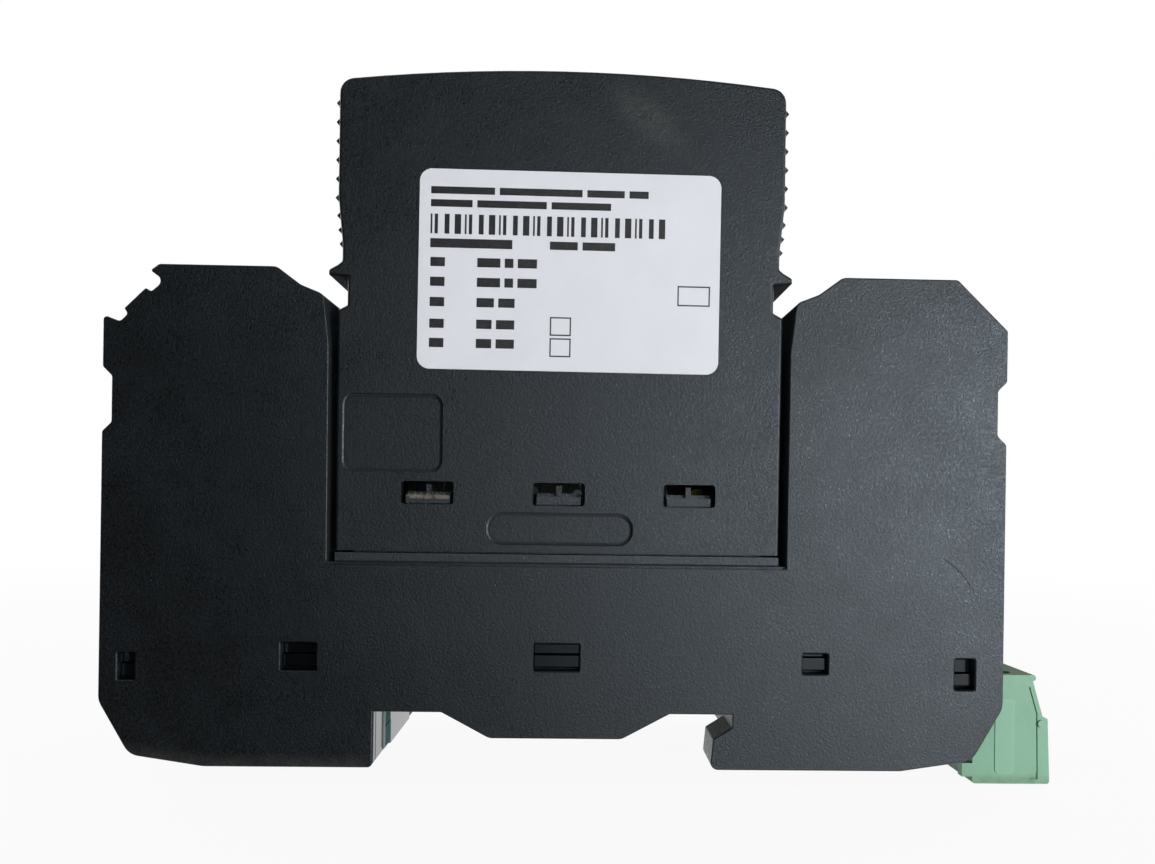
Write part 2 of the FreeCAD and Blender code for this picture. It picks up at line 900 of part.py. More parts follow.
def switch_shelf():
    """Shelf along the far edge of the signal board."""
    y = connector_far + free_gap
    top = signal_board_top - board_thickness
    return block(switch_x - 3, inner_half + 0.5, y - 1.2, y + 1.4, -foot_depth + shell_wall - 0.5, top)


def floor_slots():
    """Slots in the opening's floor for the blades, the switch plunger and the coding pin."""
    slots = []
    for x in (left_contact_x, right_contact_x):
        half = blade_thickness / 2 + 0.5
        slots.append(block(x - half, x + half, contact_y0 - 0.5, contact_y1 + 0.5,
                           floor_underside - 1, opening_floor_height + 1))
    slots.append(rod(plunger_radius + plunger_play, switch_x, switch_y,
                     floor_underside - 1, shell_wall + 2))
    slots.append(rod(coding_radius + 0.2, coding_x, coding_y, floor_underside - 1, shell_wall + 2))
    return slots


def busbar():
    """Right busbar: two tongues under the terminals, a riser and a foot under the socket."""
    riser_x1 = terminal_x - cage_length / 2 - 2 * free_gap
    riser_x0 = riser_x1 - busbar_thickness
    tongue_x1 = terminal_x + cage_length / 2
    tongues = [
        block(riser_x0, tongue_x1, y - tongue_width / 2, y + tongue_width / 2, busbar_bottom, busbar_top)
        for y in (-terminal_y, terminal_y)
    ]
    bridge = block(riser_x0, riser_x1, -terminal_y - tongue_width / 2, terminal_y + tongue_width / 2,
                   busbar_top - busbar_bridge_height, busbar_top)
    foot_bottom = socket_base - busbar_thickness
    riser = block(riser_x0, riser_x1, contact_y0, terminal_y + tongue_width / 2, foot_bottom, busbar_top)
    foot = block(right_contact_x - socket_foot_length, riser_x1, contact_y0, contact_y1,
                 foot_bottom, socket_base)
    return fused(tongues + [bridge, riser, foot])


def socket_contact():
    """Right socket: a sprung fork that grips the blade."""
    slot = blade_thickness / 2 + blade_play
    leaf = socket_leaf
    z0 = socket_base
    z1 = socket_base + socket_height
    waist = z0 + socket_height * socket_waist_share
    x = right_contact_x
    half = [
        (slot + leaf + socket_foot_reach, z0, 0),
        (slot + leaf + socket_foot_reach, z0 + leaf, 0.3),
        (slot + leaf, waist, 0.5),
        (slot + leaf + socket_flare, z1, 0),
        (slot + socket_flare, z1, 0),
        (slot, waist, 0.5),
        (slot + socket_foot_reach, z0 + leaf, 0.2),
    ]
    right = [(x + a, z, radius) for a, z, radius in half]
    left = [(x - a, z, radius) for a, z, radius in reversed(half)]
    return side_plate(right + left, contact_y0 + socket_end_gap, contact_y1 - socket_end_gap)


def socket_spring():
    """Right over-spring: a steel bow on each side of the fork, joined round its ends."""
    slot = blade_thickness / 2 + blade_play
    waist = socket_base + socket_height * socket_waist_share
    inner = slot + socket_leaf + 0.2
    y0 = contact_y0 - 0.1
    y1 = contact_y1 + 0.1
    band_low = waist - spring_band_height / 2
    band_high = waist + spring_band_height / 2
    outer = inner + spring_sheet
    x = right_contact_x
    band = block(x - outer, x + outer, y0 - spring_sheet, y1 + spring_sheet, band_low, band_high)
    window = block(x - inner, x + inner, y0, y1, band_low - 1, band_high + 1)
    return band.cut(window)


def terminal_cage(x, y):
    """Steel box clamp that draws the wire up against the busbar tongue."""
    half = terminal_width / 2
    top = cage_top_rest
    low = cage_bottom_rest
    frame = end_plate(rectangle(y - half, y + half, low, top, 0.8),
                      x - cage_length / 2, x + cage_length / 2)
    window = end_plate(
        rectangle(y - half + cage_wall, y + half - cage_wall,
                  low + cage_floor, top - cage_thread_wall, 0.5),
        x - cage_length, x + cage_length)
    thread = rod(terminal_screw_radius + terminal_thread_gap, x, y, low + cage_floor + 1, cage_height)
    frame = without(frame, [window, thread])
    grooves = []
    for index in range(3):
        groove_x = x + (index - 1) * cage_groove_pitch
        grooves.append(block(groove_x - cage_groove_width / 2, groove_x + cage_groove_width / 2,
                             y - half + cage_wall, y + half - cage_wall,
                             low + cage_floor - cage_groove_depth, low + cage_floor + close_gap))
    return without(frame, grooves)


def terminal_screw(x, y):
    """Clamping screw with a slotted cross head. It turns in place and draws the cage up."""
    shank = rod(terminal_screw_radius, x, y, busbar_top, head_bottom - busbar_top)
    head = rod(screw_head_radius, x, y, head_bottom, screw_head_height)
    head = head.makeChamfer(0.4, [head.Edges[0]])
    screw = fused([shank, head])
    slot_floor = head_top - screw_slot_depth
    half_slot = screw_slot_width / 2
    slot = block(x - screw_head_radius, x + screw_head_radius, y - half_slot, y + half_slot,
                 slot_floor, head_top + 1)
    cross = block(x - half_slot, x + half_slot, y - screw_cross_length / 2, y + screw_cross_length / 2,
                  slot_floor, head_top + 1)
    return without(screw, [slot, cross])


# Remote signalling

def signal_board():
    """Small circuit board over the header that carries the microswitch."""
    y0 = inner_near + 0.4
    y1 = connector_far + free_gap - 0.1
    z0 = signal_board_top - board_thickness
    board = block(switch_x - 3.2, pin_x + 2.2, y0, y1, z0, signal_board_top)
    holes = [rod(0.75, pin_x, connector_y(index), 0, 20) for index in range(connector_poles)]
    x, z, width, height = base_windows[3]
    holes.append(block(x - width / 2 - free_gap, x + width / 2 + free_gap,
                       y0 - 1, inner_near + cover_hook_thickness + free_gap, z0 - 1, signal_board_top + 1))
    return without(board, holes)


def switch_body():
    """Microswitch under the opening's floor."""
    body = block(switch_x - switch_length / 2, switch_x + switch_length / 2,
                 switch_y - switch_width / 2, switch_y + switch_width / 2, switch_bottom, switch_top)
    bore = rod(plunger_radius + plunger_play, switch_x, switch_y, switch_top - plunger_seat_depth,
               plunger_seat_depth + 1)
    legs = []
    for x in (switch_x - 2.0, switch_x + 2.0):
        legs.append(block(x - 0.3, x + 0.3, switch_y - 0.2, switch_y + 0.2,
                          switch_bottom - board_thickness - 1.0, switch_bottom))
    return body.cut(bore), legs


def switch_and_board():
    """Switch body with its legs, and the board with matching holes."""
    body, legs = switch_body()
    board = signal_board()
    for leg in legs:
        board = board.cut(leg)
    return fused([body] + legs), board


def switch_plunger():
    """Plunger that the plug's slider presses down."""
    bottom = switch_top - plunger_seat_depth + plunger_travel + close_gap
    top = plug_bottom + slider_foot_recess - close_gap
    plunger = rod(plunger_radius, switch_x, switch_y, bottom, top - bottom)
    return plunger.makeFillet(0.4, [plunger.Edges[0]])


def signal_header():
    """Moulded shroud that the signal connector plugs into."""
    y0 = connector_near + seat_gap
    y1 = connector_far - seat_gap
    body = block(header_left, header_right, y0, y1, header_bottom, header_top)
    mouth = block(header_left + header_back_wall, header_right + 1, y0 + header_wall, y1 - header_wall,
                  header_bottom + header_wall, header_top - header_wall)
    body = body.cut(mouth)
    for index in range(connector_poles):
        body = body.cut(header_pin(index))
    return body


def header_pin(index):
    """Angled square pin: along the connector, then up through the board."""
    y = connector_y(index)
    half = pin_size / 2
    along = block(pin_x - half, header_right - 1.0, y - half, y + half, pin_level - half, pin_level + half)
    up = block(pin_x - half, pin_x + half, y - half, y + half, pin_level - half, signal_board_top + 1.0)
    return fused([along, up])


def header_pins():
    return Part.makeCompound([header_pin(index) for index in range(connector_poles)])


def connector_profile():
    """Outline of the connector from the near side: a leaning end, a shoulder and a lip on top."""
    low = connector_bottom
    top = connector_top_level
    right = connector_right
    shoulder_right = right - connector_lean
    return [
        (connector_left, low, 0.3),
        (right, low, 0.3),
        (shoulder_right, connector_shoulder, 0.25),
        (shoulder_right - connector_ledge, connector_shoulder + connector_ledge_rise, 0.15),
        (right - connector_neck_setback, top - connector_neck_drop, 0.1),
        (right - connector_lip_setback, top - connector_lip_height, 0.1),
        (right - connector_lip_setback, top, 0.25),
        (connector_left, top, 0.3),
    ]


def connector_holes():
    """Clamp pockets, screw holes, wire entries and pin sockets of every pole."""
    head_top_level = connector_head_bottom + connector_head_height
    half_clamp_x = clamp_length / 2 + close_gap
    half_clamp_y = clamp_width / 2 + connector_clamp_play
    half_strip_y = strip_width / 2 + seat_gap
    half_entry = connector_entry_size / 2
    half_socket = pin_socket_width / 2
    holes = []
    for index in range(connector_poles):
        y = connector_y(index)
        holes.append(block(clamp_x - half_clamp_x, clamp_x + half_clamp_x, y - half_clamp_y, y + half_clamp_y,
                           clamp_bottom - seat_gap, head_top_level + close_gap))
        holes.append(rod(connector_bore_radius, clamp_x, y, clamp_top, connector_height))
        holes.append(end_plate(
            rectangle(y - half_entry, y + half_entry,
                      connector_bottom + connector_entry_rise, strip_level - close_gap, 0.3),
            clamp_x, connector_right + 1))
        holes.append(block(insert_left - 1, clamp_x + 2.2, y - half_strip_y, y + half_strip_y,
                           strip_level - seat_gap, strip_level + strip_thickness + seat_gap))
        holes.append(block(insert_left - 1, connector_left + 0.8, y - half_socket, y + half_socket,
                           pin_level - pin_socket_height / 2, pin_level + pin_socket_height / 2))
    return holes


def connector_seams():
    """Fine seam of the end wall and the catch at its foot, sunk into both sides."""
    half = connector_seam_width / 2
    right = connector_right
    seam_foot = connector_bottom + connector_entry_rise + 0.3
    seam = [
        (right - 2.3, connector_top_level - 1.3),
        (right - 1.47, connector_shoulder + 0.53),
        (right - 1.35, seam_foot),
    ]
    band = [(x - half, z, 0) for x, z in seam] + [(x + half, z, 0) for x, z in reversed(seam)]
    catch_right = right - 1.35 + half
    catch = rectangle(catch_right - connector_catch_width, catch_right,
                      seam_foot - connector_catch_height, seam_foot, 0.0)
    cuts = []
    for y0, y1 in ((connector_near - 1, connector_near + connector_seam_depth),
                   (connector_far - connector_seam_depth, connector_far + 1)):
        cuts.append(side_plate(band, y0, y1))
        cuts.append(side_plate(catch, y0, y1))
    return cuts


def connector_body():
    """Green moulded body of the signal connector, with its screw and wire openings."""
    low = connector_bottom
    outer = side_plate(connector_profile(), connector_near, connector_far)
    insert = side_plate(rectangle(insert_left, connector_left + 0.5, insert_bottom, insert_top, 0.3),
                        connector_near + connector_insert_wall, connector_far - connector_insert_wall)
    key = block(connector_left - connector_key_reach, connector_left + 0.5,
                connector_near, connector_near + connector_key_thickness,
                low + connector_key_rise, low + connector_key_rise + connector_key_height)
    plate_left = connector_left + connector_plate_inset
    plate_low = low + connector_plate_rise
    plate = side_plate(
        rectangle(plate_left, plate_left + connector_plate_width,
                  plate_low, plate_low + connector_plate_height, 0.55),
        connector_near - connector_plate_relief, connector_near + close_gap)
    boss = rod(connector_boss_radius, connector_right - connector_boss_inset,
               connector_near - connector_boss_relief, low + connector_boss_level,
               connector_boss_relief + close_gap, (0, 1, 0))
    body = without(fused([outer, insert]), connector_holes() + connector_seams())
    return fused([body, key, plate, boss])


def connector_contact(index):
    """Spring fork round one pin, with a strip that runs back into the clamp."""
    y = connector_y(index)
    gap = pin_size / 2 + 0.06
    x0 = insert_left + 0.4
    x1 = connector_left + 0.7
    y0 = y - strip_width / 2
    y1 = y + strip_width / 2
    top = max(pin_level + gap, strip_level + strip_thickness)
    upper = block(x0, x1, y0, y1, pin_level + gap, pin_level + gap + fork_leaf)
    lower = block(x0, x1, y0, y1, pin_level - gap - fork_leaf, pin_level - gap)
    back = block(x1 - fork_leaf, x1, y0, y1, pin_level - gap - fork_leaf, top)
    strip = block(x1 - fork_leaf, clamp_x + 2.1, y0, y1, strip_level, strip_level + strip_thickness)
    return fused([upper, lower, back, strip])


def connector_contacts():
    return Part.makeCompound([connector_contact(index) for index in range(connector_poles)])


def connector_clamp(index):
    """Small box clamp of one pole."""
    y = connector_y(index)
    frame = block(clamp_x - clamp_length / 2, clamp_x + clamp_length / 2,
                  y - clamp_width / 2, y + clamp_width / 2, clamp_bottom, clamp_top)
    window = block(clamp_x - clamp_length, clamp_x + clamp_length, y - strip_width / 2 - 0.08,
                   y + strip_width / 2 + 0.08, clamp_bottom + clamp_floor_wall, clamp_top - clamp_top_wall)
    thread = rod(connector_screw_radius + 0.03, clamp_x, y,
                 clamp_bottom + clamp_floor_wall + 0.5, clamp_height)
    return without(frame, [window, thread])


def connector_screw(index):
    """Slotted screw of one pole."""
    y = connector_y(index)
    bottom = strip_level + strip_thickness
    shank = rod(connector_screw_radius, clamp_x, y, bottom, connector_head_bottom - bottom)
    head = rod(connector_head_radius, clamp_x, y, connector_head_bottom, connector_head_height)
    slot = block(clamp_x - 2, clamp_x + 2, y - 0.2, y + 0.2,
                 connector_head_bottom + connector_head_height - 0.5, connector_head_bottom + 2)
    return fused([shank, head]).cut(slot)


# Plug

def plug_side():
    """Right side of the plug cover, from its lower edge to its top."""
    return [
        (half_plug, cover_bottom, 0.0),
        (half_plug + 0.1, neck_bottom - 0.4, 0.2),
        (half_neck, neck_bottom + 0.15, 0.2),
        (half_neck, lug_bottom, 0.1),
        (half_plug + lug_reach, lug_bottom + 0.15, 0.12),
        (half_plug + lug_reach, lug_bottom + 0.7, 0.25),
        (half_plug + 0.2, lug_bottom + 1.2, 0.4),
        (grip_low_half, lug_top, 0.4),
        (grip_low_half, grip_low, 3.0),
        (half_grip, grip_high, 5.0),
    ]


def grip_half_width(z):
    """Half width of the plug's side at one height of the grip."""
    share = min(max((z - grip_low) / (grip_high - grip_low), 0.0), 1.0)
    return grip_low_half + share * (half_grip - grip_low_half)


def grip_ribs():
    """Small ridges across both grips. The lowest three stand closer together."""
    ribs = []
    z = plug_crown_height - grip_rib_top_drop
    for step in [0.0] + [grip_rib_pitch] * 5 + grip_rib_low_pitches:
        z -= step
        side = grip_half_width(z)
        tip = side + grip_rib_height
        ridge = side_plate(
            [(side - grip_rib_root, z - grip_rib_base / 2 - 0.3, 0), (tip, z, 0.08),
             (side - grip_rib_root, z + grip_rib_base / 2 + 0.3, 0)],
            plug_near + 0.5, plug_far - 0.5)
        ribs += [ridge, mirrored(ridge)]
    return ribs


def plug_windows(y0, y1):
    """Three snap windows through one wall of the plug cover."""
    tools = []
    for index in (-1, 0, 1):
        x = index * plug_window_pitch
        tools.append(side_plate(
            rectangle(x - plug_window_width / 2, x + plug_window_width / 2,
                      plug_window_level - plug_window_height / 2, plug_window_level + plug_window_height / 2,
                      0.35), y0, y1))
    return tools


def crown_cylinder(radius, top):
    return rod(radius, 0, -device_thickness, top - radius, 2 * device_thickness, (0, 1, 0))


def plug_cover():
    """Moulded cap of the plug with grips, lugs, windows and two bare moulded panels."""
    side = plug_side()
    top = [(half_grip, plug_crown_height + 1, 0.0)]
    outline = side + top + mirror_corners(side + top)
    body = side_plate(outline, plug_near, plug_far)
    body = body.common(crown_cylinder(crown_radius, plug_crown_height))
    crown_edges = [edge for edge in body.Edges
                   if abs(edge.BoundBox.ZMax - edge.BoundBox.ZMin) < 0.01
                   and edge.BoundBox.ZMin > crown_edge_level
                   and edge.BoundBox.YLength > device_thickness / 2]
    body = body.makeFillet(crown_corner_radius, crown_edges)
    rim_edges = edges_on_face(body, plug_near) + edges_on_face(body, plug_far)
    rim_edges = [edge for edge in rim_edges if edge.BoundBox.ZMin > grip_low or
                 (edge.BoundBox.ZMax < neck_bottom and edge.BoundBox.ZLength > 5)]
    body = body.makeFillet(mould_edge_radius, rim_edges)
    body = fused([body] + grip_ribs())
    low_half = half_plug - plug_wall
    high_half = half_neck - plug_wall
    hollow = side_plate(
        [(-low_half, cover_bottom - 1, 0), (low_half, cover_bottom - 1, 0),
         (low_half, neck_bottom - 2.0, 0), (high_half, neck_bottom - 1.0, 0),
         (high_half, plug_ceiling, 2.0), (-high_half, plug_ceiling, 2.0),
         (-high_half, neck_bottom - 1.0, 0), (-low_half, neck_bottom - 2.0, 0)],
        plug_near + plug_wall, plug_far - plug_wall)
    body = body.cut(hollow)
    body = without(body, plug_windows(plug_near - 1, plug_near + plug_wall + 0.5))
    body = without(body, plug_windows(plug_far - plug_wall - 0.5, plug_far + 1))
    panels = [
        side_plate(rectangle(*square_panel), plug_near - 1, plug_near + panel_depth),
        side_plate(rectangle(*long_panel), plug_near - 1, plug_near + panel_depth),
    ]
    seat = window_seat(0.0)
    return without(body, panels + [seat])


def window_seat(play):
    """Block through the top wall where the status window sits."""
    half_x = status_window_length / 2 - play
    half_y = status_window_width / 2 - play
    return block(status_window_x - half_x, status_window_x + half_x, slider_y - half_y, slider_y + half_y,
                 plug_ceiling - plug_ceiling_drop, plug_crown_height + 1)


def indicator_window():
    """Clear window of the status flag, flush with the crown and with a lip below it."""
    pane = window_seat(seat_gap)
    pane = pane.common(crown_cylinder(crown_radius - 0.02, plug_crown_height - 0.02))
    low = plug_ceiling
    half_x = status_window_length / 2 + window_lip
    half_y = status_window_width / 2 + window_lip
    lip = block(status_window_x - half_x, status_window_x + half_x, slider_y - half_y, slider_y + half_y,
                low - 0.9, low - seat_gap)
    return fused([pane.cut(block(-half_plug, half_plug, plug_near, plug_far, 0, low - 0.5)), lip])


def frame_hook(x, side):
    """One snap hook of the plug base. Side is -1 at the near wall and 1 at the far one."""
    wall_inner = side * (plug_far - plug_wall)
    arm_outer = wall_inner - side * hook_play
    arm_inner = arm_outer - side * hook_arm_thickness
    low = plug_window_level - plug_window_height / 2 + hook_sill
    half = hook_arm_width / 2
    half_rib = hook_rib_width / 2
    arm = block(x - half, x + half, arm_inner, arm_outer, deck_top - 0.5, low + hook_arm_rise)
    ledge = block(x - half, x + half, arm_inner, arm_outer + side * (plug_wall - hook_face_recess),
                  low, low + hook_ledge_height)
    rib = block(x - half_rib, x + half_rib, arm_inner, arm_outer + side * hook_rib_reach,
                low, low + hook_rib_rise)
    return [arm, ledge, rib]


def plug_base():
    """Bottom frame of the plug: rim under the cover, deck inside it and six snap hooks."""
    rim = block(-half_plug, half_plug, plug_near, plug_far, plug_bottom, plug_bottom + plug_frame_rim)
    half_deck = half_plug - plug_wall - hook_play
    deck_near = plug_near + plug_wall + hook_play
    deck_far = plug_far - plug_wall - hook_play
    deck = block(-half_deck, half_deck, deck_near, deck_far, plug_bottom, deck_top)
    hooks = []
    for index in (-1, 0, 1):
        for side in (-1, 1):
            hooks += frame_hook(index * plug_window_pitch, side)
    chamber_rest = [
        block(side * (chamber_width / 2 - 3), side * (chamber_width / 2 - 1),
              chamber_near + 1, chamber_far - 1, deck_top - 0.5, chamber_bottom)
        for side in (-1, 1)
    ]
    board_rail = block(-chamber_width / 2, chamber_width / 2 - 5, board_near - 1.2, board_near - 0.1,
                       deck_top - 0.5, chamber_bottom + 1.5)
    half_guide = slider_half_y + slider_guide_wall
    guide = block(slider_x0 - slider_arm, slider_x1 + slider_guide_wall,
                  slider_y - half_guide, slider_y + half_guide, deck_top - 0.5, guide_top)
    frame = fused([rim, deck] + hooks + chamber_rest + [board_rail, guide])
    holes = []
    for x in (left_contact_x, right_contact_x):
        half = blade_thickness / 2
        holes.append(block(x - half, x + half, contact_y0, contact_y1, plug_bottom - 1, chamber_top))
    holes.append(slider_bore())
    holes.append(rod(coding_radius, coding_x, coding_y, plug_bottom - 1, 2.5))
    holes.append(rod(plunger_radius + 0.3, switch_x, switch_y, plug_bottom - 1, plug_frame_rim + 2))
    return without(frame, holes)


def slider_bore():
    return block(slider_x0 - close_gap, slider_x1 + close_gap,
                 slider_y - slider_half_y - close_gap, slider_y + slider_half_y + close_gap,
                 plug_bottom - 1, slider_collar)


def status_slider():
    """Slider that springs up when the varistor overheats: a bar with the status flag on top."""
    foot_z = plug_bottom + slider_foot_recess
    flag_z = plug_crown_height - plug_top_wall - slider_flag_drop - slider_travel
    bar = block(slider_x0, slider_x1, slider_y - slider_half_y, slider_y + slider_half_y, foot_z, flag_z)
    flag = block(status_window_x - status_window_length / 2, slider_x1, slider_y - slider_half_y,
                 slider_y + slider_half_y, flag_z - slider_flag_thickness, flag_z)
    collar = block(slider_x0 - slider_arm, slider_x0 + 0.3,
                   slider_y - slider_half_y, slider_y + slider_half_y,
                   slider_collar, slider_collar + slider_collar_height)
    return fused([bar, flag, collar])


def slider_spring():
    """Compressed coil that pushes the slider's collar up off its guide."""
    low = guide_top + slider_spring_wire + seat_gap
    length = slider_collar - low - slider_spring_wire - seat_gap
    coil = coil_spring(slider_spring_radius, slider_spring_wire, length / 7, length)
    coil.translate(vec(slider_x0 - slider_arm / 2 - close_gap, slider_y, low))
    return coil


def blade():
    """Right contact blade: down through the plug base and up inside the arc chamber."""
    half = blade_thickness / 2
    x = right_contact_x
    top = chamber_bottom + chamber_wall + blade_rise
    tip = opening_floor_height - blade_reach
    bar = block(x - half, x + half, contact_y0, contact_y1, tip, top)
    tip_edges = [edge for edge in bar.Edges
                 if edge.BoundBox.ZMax < tip + 0.01 and edge.BoundBox.YLength > 5]
    return bar.makeChamfer(0.5, tip_edges)


def chamber_outer():
    half = chamber_width / 2
    return side_plate(rectangle(-half, half, chamber_bottom, chamber_top, 1.2), chamber_near, chamber_far)


def chamber_hollow():
    half = chamber_width / 2 - chamber_wall
    depth = electrode_thickness / 2 + electrode_side_gap
    return side_plate(
        rectangle(-half, half, chamber_bottom + chamber_wall, chamber_top - chamber_wall, 1.0),
        contact_offset - depth, contact_offset + depth)


def rivet_places():
    half = chamber_width / 2 - chamber_wall / 2
    low = chamber_bottom + chamber_wall / 2
    high = chamber_top - chamber_wall / 2
    return [(x, z) for x in (-half, half) for z in (low, high)]


def chamber_shell():
    """Both halves of the arc chamber as one body, before they are parted."""
    shell = chamber_outer().cut(chamber_hollow())
    tools = []
    for x in (left_contact_x, right_contact_x):
        half = blade_thickness / 2 + 0.02
        tools.append(block(x - half, x + half, contact_y0 - 0.02, contact_y1 + 0.02,
                           chamber_bottom - 1, chamber_bottom + chamber_wall + 1))
    for x, z in rivet_places():
        tools.append(rod(rivet_radius + rivet_play, x, chamber_near - 1, z,
                         chamber_thickness + 2, (0, 1, 0)))
    for side in (-1, 1):
        for index in range(chamber_grooves):
            groove_z = chamber_bottom + chamber_groove_start + index * chamber_groove_pitch
            y0 = chamber_near if side < 0 else chamber_far
            tools.append(block(-chamber_width / 2 + 4, chamber_width / 2 - 4,
                               y0, y0 - side * chamber_groove_depth,
                               groove_z, groove_z + chamber_groove_height))
    return without(shell, tools)


def chamber_half(y0, y1):
    return chamber_shell().common(block(-half_plug, half_plug, y0, y1, 0, plug_crown_height))


def chamber_rivets():
    rivets = []
    for x, z in rivet_places():
        shank = rod(rivet_radius, x, chamber_near - 0.01, z, chamber_thickness + 0.02, (0, 1, 0))
        near_head = rod(rivet_head_radius, x, chamber_near - 0.01 - rivet_head_height, z,
                        rivet_head_height, (0, 1, 0))
        far_head = rod(rivet_head_radius, x, chamber_far + 0.01, z, rivet_head_height, (0, 1, 0))
        rivets.append(fused([near_head, shank, far_head]))
    return Part.makeCompound(rivets)


def electrode():
    """Right horn of the spark gap. The arc runs up along its slanted side."""
    x1 = right_contact_x - blade_thickness / 2
    z0 = chamber_bottom + chamber_wall
    horn = [
        (spark_gap / 2, z0 + horn_foot_rise, 0.6),
        (x1, z0, 0.0),
        (x1, z0 + horn_back, 0.6),
        (x1 - horn_tip_inset, z0 + horn_height, 1.0),
        (x1 - horn_tip_inset - horn_tip_width, z0 + horn_height, 1.0),
        (spark_gap / 2, z0 + horn_foot, 1.5),
    ]
    half = electrode_thickness / 2
    return side_plate(horn, contact_offset - half, contact_offset + half)


def trigger_board():
    """Circuit board of the trigger and overload parts, beside the arc chamber."""
    half = chamber_width / 2
    return side_plate(
        rectangle(-half, half - trigger_board_cutback, chamber_bottom + 0.3,
                  chamber_top + trigger_board_rise, 0.6),
        board_near, board_near + board_thickness)


def varistor_disc():
    """Coated varistor disc that stands off the near side of the board on its leads."""
    x = -chamber_width / 2 + varistor_inset
    z = chamber_bottom + varistor_rise
    disc = rod(varistor_radius, x, board_near - varistor_gap - varistor_thickness, z,
               varistor_thickness, (0, 1, 0))
    disc = disc.makeFillet(1.6, [disc.Edges[0], disc.Edges[2]])
    leads = [rod(0.4, x + dx, board_near - 2.0, z - varistor_radius + 2.5, 2.0, (0, 1, 0))
             for dx in (-2.5, 2.5)]
    return fused([disc] + leads)


def gas_tube():
    """Gas-filled tube with two end caps, lying along the board."""
    x = chamber_width / 2 - gas_tube_inset
    z = chamber_bottom + gas_tube_rise
    y = board_near - gas_tube_radius
    tube = rod(gas_tube_radius - 0.3, x - gas_tube_length / 2, y, z, gas_tube_length, (1, 0, 0))
    caps = [rod(gas_tube_radius, cap_x, y, z, gas_tube_cap, (1, 0, 0))
            for cap_x in (x - gas_tube_length / 2 - gas_tube_cap, x + gas_tube_length / 2)]
    return fused([tube] + caps)


def pulse_transformer():
    """Potted ignition transformer."""
    x = chamber_width / 2 - transformer_inset
    z = chamber_bottom + transformer_rise
    front = board_near - transformer_depth
    body = block(x - transformer_width / 2, x + transformer_width / 2, front, board_near,
                 z, z + transformer_height)
    outer_edges = edges_on_face(body, front)
    return body.makeFillet(0.6, outer_edges)


def type_label():
    """Rating label, left bare of any marking here."""
    half_x = label_width / 2
    half_z = label_height / 2
    label = side_plate(rectangle(-half_x, half_x, -half_z, half_z, label_corner_radius),
                       plug_near - label_thickness, plug_near)
    label.rotate(vec(0, 0, 0), vec(0, 1, 0), label_turn)
    label.translate(vec(label_offset, 0, plug_crown_height - label_drop))
    return label


def coding_pin():
    """Pin under the plug that only enters a base of the same rating."""
    pin = rod(coding_radius - 0.03, coding_x, coding_y, plug_bottom - coding_depth, coding_depth + 1.4)
    return pin.makeChamfer(0.3, [pin.Edges[2]])


def build_parts():
    """Every node of the model by name."""
    nodes = {
        "base_housing": base_housing(),
        "base_side_cover": base_side_cover(),
        "rail_latch": rail_latch(),
        "latch_spring": latch_spring(),
        "busbar_right": busbar(),
        "busbar_left": mirrored(busbar()),
        "socket_contact_right": socket_contact(),
        "socket_contact_left": mirrored(socket_contact()),
        "socket_spring_right": socket_spring(),
        "socket_spring_left": mirrored(socket_spring()),
        "switch_plunger": switch_plunger(),
        "signal_header": signal_header(),
        "header_pins": header_pins(),
        "connector_body": connector_body(),
        "connector_contacts": connector_contacts(),
        "plug_cover": plug_cover(),
        "plug_base": plug_base(),
        "blade_right": blade(),
        "blade_left": mirrored(blade()),
        "chamber_near_half": chamber_half(chamber_near, contact_offset),
        "chamber_far_half": chamber_half(contact_offset, chamber_far),
        "chamber_rivets": chamber_rivets(),
        "electrode_right": electrode(),
        "electrode_left": mirrored(electrode()),
        "trigger_board": trigger_board(),
        "varistor_disc": varistor_disc(),
        "gas_tube": gas_tube(),
        "pulse_transformer": pulse_transformer(),
        "status_slider": status_slider(),
        "slider_spring": slider_spring(),
        "indicator_window": indicator_window(),
        "type_label": type_label(),
        "coding_pin": coding_pin(),
    }
    nodes["switch_body"], nodes["signal_board"] = switch_and_board()
    for name, x, y in terminal_places():
        nodes["terminal_cage_" + name] = terminal_cage(x, y)
        nodes["terminal_screw_" + name] = terminal_screw(x, y)
    for index in range(connector_poles):
        nodes["connector_clamp_" + str(index + 1)] = connector_clamp(index)
        nodes["connector_screw_" + str(index + 1)] = connector_screw(index)
    return nodes


os.makedirs("parts", exist_ok=True)
for node_name, node_shape in build_parts().items():
    node_shape.exportStep("parts/" + node_name + ".step")
    print(node_name, "solids", len(node_shape.Solids), "valid", node_shape.isValid(),
          "volume", round(node_shape.Volume, 1))
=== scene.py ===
"""Looks of a pluggable surge arrester for a 35 mm rail, dressed over its packed CAD model."""

import math

import bmesh
import bpy
from mathutils import Matrix, Vector


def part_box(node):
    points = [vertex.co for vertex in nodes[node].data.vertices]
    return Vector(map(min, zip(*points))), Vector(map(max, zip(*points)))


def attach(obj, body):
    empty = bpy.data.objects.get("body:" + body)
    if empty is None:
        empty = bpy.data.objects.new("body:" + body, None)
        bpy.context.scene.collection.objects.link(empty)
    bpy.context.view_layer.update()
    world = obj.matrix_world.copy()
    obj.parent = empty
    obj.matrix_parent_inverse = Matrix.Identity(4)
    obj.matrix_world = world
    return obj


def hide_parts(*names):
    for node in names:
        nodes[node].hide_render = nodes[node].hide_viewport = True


bl_info = {
    "name": "Surge Arrester Looks",
    "version": (1, 0, 0),
    "blender": (4, 5, 0),
    "location": "View3D > Sidebar > Surge Arrester",
    "description": "Finishes, type label, light and camera for a pluggable surge arrester",
    "category": "Object",
}

